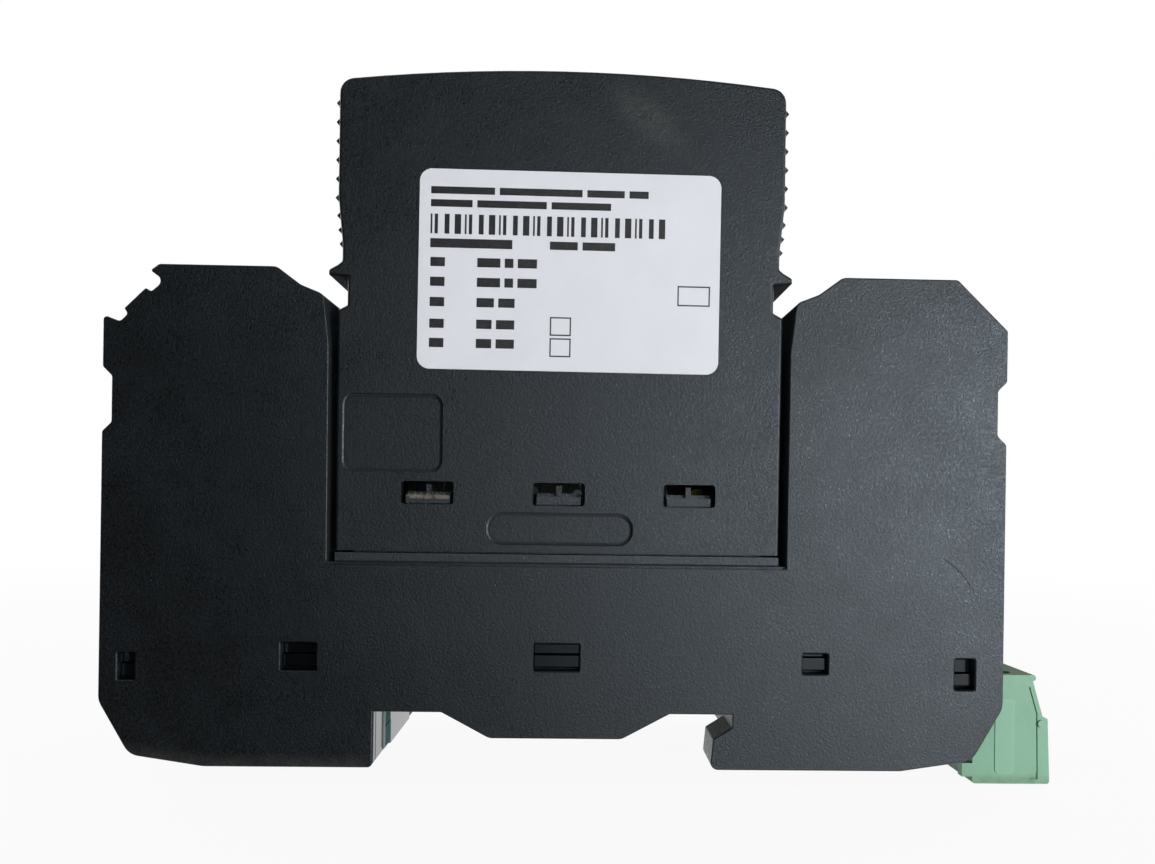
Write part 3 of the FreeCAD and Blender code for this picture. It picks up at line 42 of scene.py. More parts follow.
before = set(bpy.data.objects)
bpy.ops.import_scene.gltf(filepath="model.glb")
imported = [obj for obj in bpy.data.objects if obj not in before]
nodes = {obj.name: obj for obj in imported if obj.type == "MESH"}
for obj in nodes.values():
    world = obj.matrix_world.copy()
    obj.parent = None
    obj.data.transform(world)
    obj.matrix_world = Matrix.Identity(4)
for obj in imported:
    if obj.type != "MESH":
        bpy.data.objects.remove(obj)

MM = 0.001
LABEL_LOW, LABEL_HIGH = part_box("type_label")
LABEL_CENTRE = (LABEL_LOW + LABEL_HIGH) / 2
COVER_LOW, COVER_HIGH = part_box("base_side_cover")
LATCH_LOW, LATCH_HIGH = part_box("rail_latch")
PLUG_BASE_LOW, PLUG_BASE_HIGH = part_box("plug_base")
CONNECTOR_LOW, CONNECTOR_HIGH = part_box("connector_body")
TUBE_LOW, TUBE_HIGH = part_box("gas_tube")

# Where the left foot's flat underside ends, and how steeply its outline climbs from there
FOOT_TOE = COVER_LOW.x + 0.0108
FOOT_SLOPE = 0.151

# What the lamps point at
LIT_MIDDLE = Vector((0.0, 0.0, 0.028))

# Half the width of the soft edge between two finishes
SOFT = 0.0001

# Painted shade for joints between pieces and rounded edges, where little light comes out, and how dull they
# and other matt faces are
JOINT_SHADE = (0.001, 0.001, 0.001)
DULL = 0.95

# Depth of the latch's shoulder, level of the plug hooks' root, and the left hook's dusty ledge
LATCH_SHOULDER = -0.0070
HOOK_ROOT = 0.0210
LEFT_HOOK = (-0.0160, -0.0114)
HOOK_LEDGE = (0.0222, 0.0227)

# Bare moulded panels of the plug's near side: left, right, low, high and corner radius
SQUARE_PANEL = (-0.0223, -0.01235, 0.0251, 0.03285, 0.0010)
LONG_PANEL = (-0.0073, 0.0076, 0.01765, 0.02070, 0.00145)


# Sizes and colours

def colour_property(name, description, default):
    return bpy.props.FloatVectorProperty(
        name=name, description=description, default=default, subtype="COLOR", size=3, min=0.0, max=1.0)


def length_property(name, description, default):
    return bpy.props.FloatProperty(
        name=name, description=description, default=default, unit="LENGTH", min=0.0, precision=5)


def share_property(name, description, default):
    return bpy.props.FloatProperty(
        name=name, description=description, default=default, subtype="FACTOR", min=0.0, max=1.0)


def power_property(name, description, default):
    return bpy.props.FloatProperty(name=name, description=description, default=default, unit="POWER", min=0.0)


class ShellSettings(bpy.types.PropertyGroup):
    """Moulded black parts of the base and the plug."""

    shell_colour: colour_property("Shell", "Colour of the base shell", (0.0024, 0.0031, 0.0037))
    cover_colour: colour_property("Side Cover", "Colour of the near side cover", (0.0024, 0.0031, 0.0037))
    plug_colour: colour_property("Plug", "Colour of the plug cover", (0.0034, 0.0042, 0.0050))
    # Painted light: the plug's frame is coloured lighter than the plug for the light that its rim catches
    frame_lit_colour: colour_property("Plug Frame", "Colour of the plug's frame", (0.0105, 0.0125, 0.0150))
    latch_colour: colour_property("Rail Latch", "Colour of the rail latch", (0.0080, 0.0085, 0.0095))
    gloss_tint: colour_property("Gloss Tint", "Tint of the black plastic's gloss", (0.81, 0.91, 1.0))
    grain_size: length_property("Grain Size", "Pitch of the moulded grain", 0.00024)
    grain_depth: length_property("Grain Depth", "Depth of the moulded grain", 0.00005)
    # Painted shade: the snap hooks are coloured darker than the shell for the little light inside the windows
    hook_shade_colour: colour_property("Snap Hooks", "Colour of the base's snap hooks", (0.0014, 0.0018, 0.0024))
    # Painted reflection: the lavender that the latch's right-facing nose shows
    nose_reflection_colour: colour_property("Latch Nose", "Colour of the latch's rubbed nose", (0.085, 0.080, 0.110))
    # Painted reflection: the teal of the band beside the latch
    wall_reflection_colour: colour_property("Foot Wall", "Colour of the band beside the latch", (0.014, 0.085, 0.075))
    # Painted reflection: the light grey that the ledge beside the latch shows
    ledge_reflection_colour: colour_property("Foot Ledge", "Rubbed ledge beside the latch", (0.26, 0.28, 0.27))
    dust_colour: colour_property("Dust", "Colour of the dust on the plug", (0.060, 0.062, 0.048))
    wear_colour: colour_property("Foot Dirt", "Dirt on the left foot", (0.038, 0.031, 0.022))
    hook_dust_colour: colour_property("Hook Dust", "Dust on the plug's left hook", (0.20, 0.165, 0.11))
    dust_amount: share_property("Dust Amount", "How much of the dust colour shows", 0.45)


class LabelSettings(bpy.types.PropertyGroup):
    """Type label on the plug's near side."""

    width: length_property("Width", "Width of the label", 0.0314)
    height: length_property("Height", "Height of the label", 0.0208)
    corner: length_property("Corner Radius", "Radius of the label's corners", 0.0013)
    film_thickness: length_property("Film Thickness", "Thickness of the film without its print", 0.000108)
    ink_thickness: length_property("Ink Thickness", "Thickness of the print", 0.00001)
    turn: bpy.props.FloatProperty(
        name="Turn", description="How far the label is turned on the plug",
        default=math.radians(0.25), subtype="ANGLE")
    film_colour: colour_property("Film", "Colour of the label film", (0.78, 0.785, 0.83))
    ink_colour: colour_property("Ink", "Colour of the print", (0.012, 0.012, 0.014))


class MetalSettings(bpy.types.PropertyGroup):
    """Plated and bare metal inside the device."""

    zinc_colour: colour_property("Zinc", "Colour of the zinc plated cages", (0.60, 0.61, 0.60))
    screw_colour: colour_property("Screws", "Colour of the screws", (0.66, 0.665, 0.65))
    tin_colour: colour_property("Tin", "Colour of the tinned copper", (0.70, 0.69, 0.66))
    copper_colour: colour_property("Copper", "Colour of the contact copper", (0.80, 0.46, 0.30))
    spring_colour: colour_property("Spring Steel", "Colour of the springs", (0.50, 0.50, 0.51))
    brass_colour: colour_property("Brass", "Colour of the rivets", (0.78, 0.60, 0.30))
    electrode_colour: colour_property("Electrodes", "Colour of the spark horns", (0.30, 0.27, 0.25))


class CircuitSettings(bpy.types.PropertyGroup):
    """Arc chamber, circuit boards and their parts."""

    chamber_colour: colour_property("Arc Chamber", "Colour of the arc chamber", (0.030, 0.026, 0.022))
    # Painted shade: the boards are coloured far darker than green solder mask, for the little light inside
    # the housing
    shaded_laminate_colour: colour_property("Boards", "Colour of the boards", (0.006, 0.022, 0.012))
    track_colour: colour_property("Tracks", "Colour of the tracks under the mask", (0.011, 0.045, 0.020))
    varistor_colour: colour_property("Varistor", "Colour of the coated varistor", (0.05, 0.13, 0.42))
    ceramic_colour: colour_property("Gas Tube", "Colour of the gas tube's ceramic", (0.80, 0.79, 0.74))
    potting_colour: colour_property("Transformer", "Colour of the potted transformer", (0.03, 0.03, 0.032))
    switch_colour: colour_property("Switch", "Colour of the switch body", (0.05, 0.05, 0.058))
    plunger_colour: colour_property("Plunger", "Colour of the switch plunger", (0.72, 0.68, 0.56))
    flag_colour: colour_property("Status Flag", "Colour of the status flag", (0.08, 0.62, 0.17))
    window_colour: colour_property("Status Window", "Tint of the status window", (0.10, 0.11, 0.11))


class ConnectorSettings(bpy.types.PropertyGroup):
    """Remote-signal connector and its header."""

    body_colour: colour_property("Connector", "Colour of the connector's plastic", (0.190, 0.400, 0.262))
    shade_colour: colour_property("Shade", "Deeper green that mottles the connector", (0.150, 0.350, 0.205))
    # Painted shade: the olive of the connector's upward faces, shaded by the base's right end
    top_shade_colour: colour_property("Top", "Olive green of its upward faces", (0.170, 0.265, 0.160))
    plate_colour: colour_property("Plate", "Paler green of the raised plate", (0.240, 0.470, 0.330))
    soil_colour: colour_property("Soil", "Olive film along the bottom edge", (0.110, 0.210, 0.110))
    grain_depth: length_property("Grain Depth", "Depth of the connector's grain", 0.000006)


class StageSettings(bpy.types.PropertyGroup):
    """Floor, light and camera."""

    floor_colour: colour_property("Floor", "Colour of the floor", (0.90, 0.90, 0.905))
    floor_glow: share_property("Floor Glow", "How much of the floor shows as plain white", 0.93)
    # Painted reflection: how black the floor looks to gloss in front of the left half
    dark_reflection_share: share_property("Card", "How dark the card in front of the left half is", 0.97)
    key_power: power_property("Key Light", "Power of the wide soft light at the front right", 2.6)
    key_width: length_property("Key Width", "Width of the light at the front right", 0.28)
    key_height: length_property("Key Height", "Height of the light at the front right", 0.12)
    front_power: power_property("Front Light", "Power of the tall soft light at the front", 0.34)
    fill_power: power_property("Fill Light", "Power of the soft light above the front", 0.7)
    back_power: power_property("Back Light", "Power of each soft light behind the device", 2.8)
    ambient: share_property("Ambient", "Strength of the even light from all round", 0.13)
    camera_place: bpy.props.FloatVectorProperty(
        name="Camera", description="Where the camera stands", size=3,
        default=(0.001898, -0.12723, 0.02226), unit="LENGTH")
    camera_yaw: bpy.props.FloatProperty(
        name="Yaw", description="How far the camera is turned to its right",
        default=math.radians(1.606), subtype="ANGLE")
    camera_roll: bpy.props.FloatProperty(
        name="Roll", description="How far the camera is tilted to its left",
        default=math.radians(0.828), subtype="ANGLE")
    focal_length: bpy.props.FloatProperty(
        name="Focal Length", description="Focal length on a 36 mm wide sensor, in millimetres",
        default=32.727, min=1.0)
    shift: bpy.props.FloatVectorProperty(
        name="Shift", description="Shift of the picture, as a share of its width", size=2,
        default=(-0.0250, 0.0592))


# Finishes

class Nodes:
    """Short ways to add and join the nodes of one tree."""

    def __init__(self, tree, coordinates):
        self.tree = tree
        self.place = self.node("ShaderNodeTexCoord").outputs[coordinates]

    def node(self, kind, **settings):
        made = self.tree.nodes.new(kind)
        for key, value in settings.items():
            setattr(made, key, value)
        return made

    def feed(self, socket, value):
        if isinstance(value, bpy.types.NodeSocket):
            self.tree.links.new(value, socket)
        else:
            socket.default_value = value

    def math(self, operation, first, second=0.0):
        made = self.node("ShaderNodeMath", operation=operation)
        self.feed(made.inputs[0], first)
        self.feed(made.inputs[1], second)
        return made.outputs[0]

    def ramp(self, value, low, high, start=0.0, end=1.0):
        made = self.node("ShaderNodeMapRange", interpolation_type="SMOOTHSTEP")
        for socket, number in zip(made.inputs, (value, low, high, start, end)):
            self.feed(socket, number)
        return made.outputs["Result"]

    def blend(self, share, first, second):
        """Mixes two plain values."""
        made = self.node("ShaderNodeMix", data_type="FLOAT")
        self.feed(made.inputs[0], share)
        self.feed(made.inputs[2], first)
        self.feed(made.inputs[3], second)
        return made.outputs[0]

    def axes(self, place=None):
        made = self.node("ShaderNodeSeparateXYZ")
        self.feed(made.inputs[0], self.place if place is None else place)
        return made.outputs[0], made.outputs[1], made.outputs[2]


class Finish(Nodes):
    """One procedural material. Layers are laid over each other and then joined to the shader."""

    def __init__(self, name, colour, roughness):
        self.material = bpy.data.materials.new(name)
        self.material.use_nodes = True
        super().__init__(self.material.node_tree, "Object")
        self.shader = next(node for node in self.tree.nodes if node.type == "BSDF_PRINCIPLED")
        self.colour = tuple(colour) + (1.0,)
        self.roughness = roughness
        self.height = None

    def mix(self, share, first, second):
        made = self.node("ShaderNodeMix", data_type="RGBA")
        self.feed(made.inputs[0], share)
        self.feed(made.inputs[6], first)
        self.feed(made.inputs[7], second)
        return made.outputs[2]

    def moved(self, origin=(0.0, 0.0, 0.0), turn=(0.0, 0.0, 0.0), stretch=(1.0, 1.0, 1.0)):
        """Object coordinates measured from a point, turned back and stretched."""
        made = self.node("ShaderNodeMapping", vector_type="TEXTURE")
        self.feed(made.inputs["Vector"], self.place)
        made.inputs["Location"].default_value = origin
        made.inputs["Rotation"].default_value = turn
        made.inputs["Scale"].default_value = stretch
        return made.outputs["Vector"]

    def noise(self, size, detail=2.0, roughness=0.5, place=None):
        """Noise whose features are about one size across."""
        made = self.node("ShaderNodeTexNoise")
        self.feed(made.inputs["Vector"], self.place if place is None else place)
        made.inputs["Scale"].default_value = 1.0 / size
        made.inputs["Detail"].default_value = detail
        made.inputs["Roughness"].default_value = roughness
        return made.outputs["Fac"]

    def cells(self, size, place=None):
        """Distance and random colour of scattered cells, one size apart."""
        made = self.node("ShaderNodeTexVoronoi")
        self.feed(made.inputs["Vector"], self.place if place is None else place)
        made.inputs["Scale"].default_value = 1.0 / size
        return made.outputs["Distance"], made.outputs["Color"]

    def between(self, value, low, high, soft):
        """1 from low to high, falling to 0 over a soft edge on both sides."""
        rise = self.ramp(value, low - soft, low + soft)
        fall = self.ramp(value, high - soft, high + soft, 1.0, 0.0)
        return self.product(rise, fall)

    def product(self, *values):
        """Multiplies values. Of shares, it is full only where all of them are."""
        found = values[0]
        for value in values[1:]:
            found = self.math("MULTIPLY", found, value)
        return found

    def step(self, value, place):
        """0 below a place and 1 above it."""
        return self.ramp(value, place - SOFT, place + SOFT)

    def below(self, value, place):
        """1 below a place and 0 above it."""
        return self.ramp(value, place - SOFT, place + SOFT, 1.0, 0.0)

    def lay(self, share, colour, roughness=None):
        """Lays another colour over what is there, where share is above 0."""
        self.colour = self.mix(share, self.colour, tuple(colour) + (1.0,))
        if roughness is not None:
            self.roughness = self.blend(share, self.roughness, roughness)

    def raise_by(self, height, depth):
        """Adds a relief of one depth. Height runs from 0 to 1."""
        lifted = self.product(height, depth)
        self.height = lifted if self.height is None else self.math("ADD", self.height, lifted)

    def polish(self, share, roughness):
        """Takes the relief away and sets one roughness, where share is above 0."""
        if self.height is not None:
            self.height = self.product(self.height, self.math("SUBTRACT", 1.0, share))
        self.roughness = self.blend(share, self.roughness, roughness)

    def facing(self):
        """The three parts of the way a face looks."""
        return self.axes(self.node("ShaderNodeNewGeometry").outputs["True Normal"])

    def facing_right(self):
        """1 on the faces that look towards the right end."""
        return self.ramp(self.facing()[0], 0.7, 0.9)

    def from_outline(self, left, right, low, high, radius):
        """Distance outside a rounded rectangle of the near side. Inside it falls below 0."""
        along, _, level = self.axes()
        reaches = []
        for value, start, end in ((along, left, right), (level, low, high)):
            off = self.math("ABSOLUTE", self.math("SUBTRACT", value, (start + end) / 2))
            reaches.append(self.math("MAXIMUM", self.math("SUBTRACT", off, (end - start) / 2 - radius), 0.0))
        squares = [self.product(reach, reach) for reach in reaches]
        return self.math("SUBTRACT", self.math("SQRT", self.math("ADD", *squares)), radius)

    def done(self):
        self.feed(self.shader.inputs["Base Color"], self.colour)
        self.feed(self.shader.inputs["Roughness"], self.roughness)
        if self.height is not None:
            bump = self.node("ShaderNodeBump")
            bump.inputs["Strength"].default_value = 1.0
            bump.inputs["Distance"].default_value = 1.0
            self.feed(bump.inputs["Height"], self.height)
            self.feed(self.shader.inputs["Normal"], bump.outputs["Normal"])
        return self.material


def shades(colour, mottle):
    """A darker and a lighter shade of one colour."""
    return [tuple(min(1.0, channel * (1.0 + change)) for channel in colour) + (1.0,)
            for change in (-mottle, mottle)]


def moulded_plastic(name, colour, roughness, grain_size, grain_depth, mottle=0.18, tint=(1.0, 1.0, 1.0)):
    """Plastic with the fine spark-eroded grain of its mould and slightly cloudy gloss."""
    finish = Finish(name, colour, roughness)
    cloud = finish.noise(0.012, 3.0, 0.55)
    patch = finish.noise(0.0035, 3.0, 0.6)
    finish.colour = finish.mix(finish.ramp(cloud, 0.3, 0.7), *shades(colour, mottle))
    grain = finish.noise(grain_size, 4.0, 0.7)
    fine = finish.noise(grain_size * 1.4, 3.0, 0.6)
    finish.raise_by(grain, grain_depth)
    bloom = finish.noise(grain_size * 1.1, 3.0, 0.7, finish.moved((0.031, 0.017, 0.023)))
    paler = tuple(min(1.0, channel * 1.06 + 0.004) for channel in colour)
    finish.lay(finish.ramp(bloom, 0.50, 0.72, 0.0, 0.6), paler)
    speckle = finish.ramp(fine, 0.28, 0.72, -0.11, 0.10)
    clouds = finish.math("ADD", finish.ramp(cloud, 0.25, 0.75, -0.035, 0.035),
                         finish.ramp(patch, 0.30, 0.70, -0.03, 0.03))
    finish.roughness = finish.math("ADD", finish.math("ADD", speckle, clouds), roughness)
    finish.shader.inputs["IOR"].default_value = 1.58
    finish.shader.inputs["Specular Tint"].default_value = tuple(tint) + (1.0,)
    return finish


def black_plastic(settings, name, colour, roughness=0.40, coarse=1.0):
    """Moulded plastic of the base and the plug, with their common grain and gloss."""
    return moulded_plastic(name, colour, roughness, settings.grain_size, settings.grain_depth * coarse,
                           tint=settings.gloss_tint)


def pale_specks(finish, colour, size, share):
    """Sparse specks of dust: only the cells whose random value is high carry one."""
    distance, chance = finish.cells(size)
    pick = finish.node("ShaderNodeSeparateColor")
    finish.feed(pick.inputs[0], chance)
    chosen = finish.ramp(pick.outputs[0], 1.0 - share, 1.0 - share * 0.8)
    dot = finish.ramp(distance, 0.02, 0.06, 1.0, 0.0)
    finish.lay(finish.product(chosen, dot, 0.45), colour, 0.75)


def smooth_plastic(name, colour, roughness, mottle=0.08):
    """Smooth moulded plastic with slight flow marks."""
    finish = Finish(name, colour, roughness)
    flow = finish.noise(0.003, 3.0, 0.6, finish.moved(stretch=(1.0, 1.0, 3.0)))
    finish.colour = finish.mix(flow, *shades(colour, mottle))
    finish.roughness = finish.ramp(flow, 0.2, 0.8, roughness - 0.06, roughness + 0.06)
    finish.raise_by(finish.noise(0.0004, 2.0), 0.000002)
    finish.shader.inputs["IOR"].default_value = 1.5
    return finish


def plated_metal(name, colour, roughness, drawn=(1.0, 1.0, 1.0), tarnish=None):
    """Metal with drawing lines along one direction and a cloudy plating."""
    finish = Finish(name, colour, roughness)
    cloud = finish.noise(0.0022, 4.0, 0.6)
    tint = tuple(channel * 0.78 for channel in colour) if tarnish is None else tarnish
    finish.lay(finish.ramp(cloud, 0.42, 0.75, 0.0, 0.7), tint)
    lines = finish.noise(0.00012, 2.0, 0.5, finish.moved(stretch=drawn))
    finish.roughness = finish.math(
        "ADD", finish.ramp(lines, 0.2, 0.8, roughness - 0.07, roughness + 0.07),
        finish.ramp(cloud, 0.3, 0.8, -0.03, 0.08))
    finish.raise_by(lines, 0.0000025)
    finish.shader.inputs["Metallic"].default_value = 1.0
    return finish


def dress(material, *names):
    """Gives CAD nodes a material."""
    for name in names:
        for slot in nodes[name].material_slots:
            slot.material = material


def starting(word):
    """Names of the CAD nodes that start with one word."""
    return [name for name in nodes if name.startswith(word)]


def piece(name, mesh_data, material):
    """Turns a bmesh into an object at the origin, in the part's frame."""
    mesh = bpy.data.meshes.new(name)
    mesh_data.to_mesh(mesh)
    mesh_data.free()
    mesh.materials.append(material)
    made = bpy.data.objects.new(name, mesh)
    bpy.context.scene.collection.objects.link(made)
    return made


# Base

class SURGE_OT_shell(bpy.types.Operator):
    """Finish the base shell and its side cover, with the dirt on the left foot"""

    bl_idname = "surge.shell"
    bl_label = "Finish Base Shell"

    def execute(self, context):
        settings = context.scene.surge_shell
        shell = black_plastic(settings, "moulded_shell", settings.shell_colour)
        pale_specks(shell, (0.08, 0.085, 0.08), 0.0021, 0.08)
        self.glossy_shaded_hooks(shell, settings)
        self.rail_wall(shell, settings)
        self.opening_walls(shell)
        dress(shell.done(), "base_housing")
        cover = black_plastic(settings, "moulded_side_cover", settings.cover_colour, 0.39)
        self.dirty_foot(cover, settings)
        self.hairline(cover)
        pale_specks(cover, (0.09, 0.095, 0.09), 0.0021, 0.10)
        self.foot_edge(cover)
        self.opening_walls(cover)
        dress(cover.done(), "base_side_cover")
        return {"FINISHED"}

    def glossy_shaded_hooks(self, shell, settings):
        """The snap hooks in the cover's windows are bare, glossy mould faces, coloured darker as painted
        shade for the dark inside of the windows.
        """
        _, depth, _ = shell.axes()
        hooks = shell.below(depth, COVER_HIGH.y)
        shell.polish(hooks, 0.12)
        shell.lay(hooks, settings.hook_shade_colour)

    def foot_edge(self, cover):
        """Glossy edge of the cover beside the latch, with painted shade at its rounding and at the joint
        behind it.
        """
        along, depth, _ = cover.axes()
        beside = cover.between(along, LATCH_HIGH.x - 0.0008, LATCH_HIGH.x + 0.0008, SOFT)
        edge = cover.product(beside, cover.facing_right())
        cover.polish(cover.product(edge, cover.step(depth, COVER_LOW.y + 0.0008)), 0.18)
        # Painted shade at the edge's rounding at the front and at the joint behind it
        ends = cover.math("ADD", cover.below(depth, COVER_LOW.y + 0.0006),
                          cover.step(depth, COVER_HIGH.y - 0.0003))
        cover.lay(cover.product(edge, ends), JOINT_SHADE, DULL)

    def rail_wall(self, shell, settings):
        """Smooth wall of the left foot towards the rail, with painted shade at its joint, dull with a painted
        teal reflection beside the latch, and a painted light grey reflection on its ledge.
        """
        along, depth, level = shell.axes()
        foot = shell.below(level, 0.0)
        beside = shell.between(along, LATCH_HIGH.x - 0.0006, LATCH_HIGH.x + 0.0006, SOFT)
        wall = shell.product(beside, shell.facing_right(), foot)
        shell.polish(wall, 0.14)
        # Painted shade at the wall's joint with the side cover
        shell.lay(shell.product(wall, shell.below(depth, COVER_HIGH.y + 0.0006)), JOINT_SHADE, DULL)
        # Painted reflection: dull teal on the wall behind the latch
        shell.lay(shell.product(wall, shell.step(depth, LATCH_LOW.y - SOFT)), settings.wall_reflection_colour, DULL)
        ledge = shell.between(along, LATCH_HIGH.x - 0.0003, LATCH_HIGH.x + 0.0001, SOFT / 2)
        front = shell.ramp(shell.facing()[1], -0.9, -0.7, 1.0, 0.0)
        # Painted reflection: light grey on the front-facing ledge beside the latch
        shell.lay(shell.product(ledge, front, foot), settings.ledge_reflection_colour, 0.6)

    def opening_walls(self, shell):
        """Shaded walls of the opening that the plug stands in."""
        along, _, level = shell.axes()
        out = shell.math("ABSOLUTE", along)
        near = shell.between(out, PLUG_BASE_HIGH.x - 0.0004, PLUG_BASE_HIGH.x + 0.0025, SOFT)
        side = shell.ramp(shell.math("ABSOLUTE", shell.facing()[0]), 0.7, 0.9)
        above = shell.step(level, PLUG_BASE_LOW.z - SOFT)
        shell.lay(shell.product(near, side, above), (0.0008, 0.0011, 0.0016), DULL)

    def dirty_foot(self, cover, settings):
        """Brown dirt in a narrow strip along the bottom outline of the left foot."""
        along, _, level = cover.axes()
        toe = cover.math("MAXIMUM", cover.math("SUBTRACT", FOOT_TOE, along), 0.0)
        outline = cover.math("ADD", cover.product(toe, FOOT_SLOPE), COVER_LOW.z)
        strip = cover.ramp(cover.math("SUBTRACT", level, outline), 0.0002, 0.0016, 1.0, 0.0)
        left = cover.between(along, COVER_LOW.x + 0.002, LATCH_HIGH.x - 0.001, 0.0012)
        ragged = cover.ramp(cover.noise(0.0014, 4.0, 0.65), 0.25, 0.70, 0.35, 1.0)
        cover.lay(cover.product(strip, left, ragged, settings.dust_amount), settings.wear_colour, 0.7)

    def hairline(self, cover):
        """Fine curved scratch near the right end."""
        middle, turn, bow = (0.0425, 0.0, 0.0150), math.radians(48.0), 60.0
        half_length, half_width = 0.0026, 0.00003
        along, _, off = cover.axes(cover.moved(middle, (0.0, turn, 0.0)))
        bowed = cover.math("ADD", off, cover.product(cover.math("POWER", along, 2.0), bow))
        thin = cover.between(bowed, -half_width, half_width, half_width)
        line = cover.product(thin, cover.between(along, -half_length, half_length, 0.0006))
        cover.lay(cover.product(line, 0.8), (0.002, 0.002, 0.002), 0.8)
        cover.raise_by(line, -0.00002)


class SURGE_OT_latch(bpy.types.Operator):
    """Finish the rail latch and its spring"""

    bl_idname = "surge.latch"
    bl_label = "Finish Rail Latch"

    def execute(self, context):
        settings = context.scene.surge_shell
        metals = context.scene.surge_metal
        latch = smooth_plastic("latch_plastic", settings.latch_colour, 0.36)
        nose = latch.facing_right()
        latch.polish(nose, 0.14)
        # Painted reflection: lavender laid on the glossy faces that look towards the right end
        latch.lay(nose, settings.nose_reflection_colour)
        shoulder = latch.below(latch.axes()[1], LATCH_SHOULDER)
        # Painted reflection: dull teal on the nose below the latch's shoulder
        latch.lay(latch.product(nose, shoulder), settings.wall_reflection_colour, DULL)
        dress(latch.done(), "rail_latch")
        spring = plated_metal("spring_wire", metals.spring_colour, 0.30, (6.0, 1.0, 1.0))
        dress(spring.done(), "latch_spring", "slider_spring")
        return {"FINISHED"}


class SURGE_OT_terminals(bpy.types.Operator):
    """Finish the terminal cages, their screws and the busbars"""

    bl_idname = "surge.terminals"
    bl_label = "Finish Terminals"

    def execute(self, context):
        metals = context.scene.surge_metal
        zinc = plated_metal("zinc_plating", metals.zinc_colour, 0.34, (1.0, 8.0, 1.0), (0.50, 0.49, 0.42))
        dress(zinc.done(), *starting("terminal_cage_"))
        screws = plated_metal("screw_plating", metals.screw_colour, 0.30, (1.0, 1.0, 1.0), (0.54, 0.52, 0.44))
        dress(screws.done(), *starting("terminal_screw_"))
        tin = plated_metal("tin_plating", metals.tin_colour, 0.36, (8.0, 1.0, 1.0))
        dress(tin.done(), "busbar_left", "busbar_right", "blade_left", "blade_right", "header_pins")
        return {"FINISHED"}


class SURGE_OT_sockets(bpy.types.Operator):
    """Finish the socket contacts and the springs that close them"""

    bl_idname = "surge.sockets"
    bl_label = "Finish Socket Contacts"

    def execute(self, context):
        metals = context.scene.surge_metal
        copper = plated_metal("contact_copper", metals.copper_colour, 0.32, (1.0, 1.0, 8.0),
                              (0.52, 0.27, 0.17))
        dress(copper.done(), "socket_contact_left", "socket_contact_right", "connector_contacts")
        strip = plated_metal("spring_strip", metals.spring_colour, 0.28, (1.0, 8.0, 1.0))
        dress(strip.done(), "socket_spring_left", "socket_spring_right")
        return {"FINISHED"}


# Plug

class SURGE_OT_plug(bpy.types.Operator):
    """Finish the plug's cover and frame, with the dusty smudge near its top"""

    bl_idname = "surge.plug"
    bl_label = "Finish Plug"

    def execute(self, context):
        settings = context.scene.surge_shell
        cover = black_plastic(settings, "moulded_plug", settings.plug_colour)
        self.smudge(cover, settings)
        for panel in (SQUARE_PANEL, LONG_PANEL):
            self.panel_rim(cover, panel)
        pale_specks(cover, (0.10, 0.105, 0.10), 0.0021, 0.10)
        dress(cover.done(), "plug_cover")
        # The frame's lighter colour is painted light on its rim
        rim = black_plastic(settings, "moulded_plug_frame", settings.frame_lit_colour, coarse=1.3)
        self.joint_shade_and_hooks(rim)
        self.dusty_hook(rim, settings)
        dress(rim.done(), "plug_base", "coding_pin")
        return {"FINISHED"}

    def panel_rim(self, cover, panel):
        """Rounded rim round one bare panel of the near side, with painted shade in its inner corner."""
        off = cover.from_outline(*panel)
        _, depth, _ = cover.axes()
        near = cover.ramp(depth, LABEL_HIGH.y + 0.0005, LABEL_HIGH.y + 0.0009, 1.0, 0.0)
        cover.raise_by(cover.product(cover.ramp(off, 0.0, 0.00024, -1.0, 0.0), near), 0.00008)
        # Painted shade: near black in a thin band just inside the panel's outline
        corner = cover.product(cover.between(off, -0.00016, 0.00001, 0.00006), near, 0.85)
        cover.lay(corner, (0.0006, 0.0007, 0.0008), 0.8)

    def joint_shade_and_hooks(self, rim):
        """Bottom edge of the frame in the shade of the base, and its bare hooks in the windows."""
        _, depth, level = rim.axes()
        # Painted shade along the frame's bottom edge
        rim.lay(rim.ramp(level, PLUG_BASE_LOW.z + 0.00010, PLUG_BASE_LOW.z + 0.00018, 1.0, 0.0),
                (0.0008, 0.0009, 0.0010), 0.9)
        # The hooks in the windows are coloured darker, without the rim's painted light
        hooks = rim.product(rim.step(level, HOOK_ROOT), rim.step(depth, LABEL_HIGH.y + 0.0008))
        rim.lay(hooks, (0.0040, 0.0044, 0.0050), 0.34)

    def dusty_hook(self, rim, settings):
        """Dust on the ledge of the left snap hook, seen through its window."""
        along, depth, level = rim.axes()
        ledge = rim.product(rim.between(along, *LEFT_HOOK, SOFT), rim.between(level, *HOOK_LEDGE, 0.00012))
        outside = rim.ramp(depth, -0.0150, -0.0145, 1.0, 0.0)
        ragged = rim.ramp(rim.noise(0.0007, 4.0, 0.7), 0.35, 0.60)
        rim.lay(rim.product(ledge, outside, ragged, 0.8), settings.hook_dust_colour, 0.8)

    def smudge(self, cover, settings):
        """Faint slanting smudge of greenish dust at the upper right of the near side."""
        middle, turn, size = (0.0087, -0.0178, 0.0623), math.radians(42.0), (0.0062, 0.006, 0.0024)
        place = cover.moved(middle, (0.0, turn, 0.0), size)
        reach = cover.node("ShaderNodeVectorMath", operation="LENGTH")
        cover.feed(reach.inputs[0], place)
        soft = cover.ramp(reach.outputs["Value"], 0.15, 1.20, 1.0, 0.0)
        ragged = cover.ramp(cover.noise(0.0007, 5.0, 0.75), 0.30, 0.70, 0.15, 1.0)
        cover.lay(cover.product(soft, ragged, settings.dust_amount), settings.dust_colour)


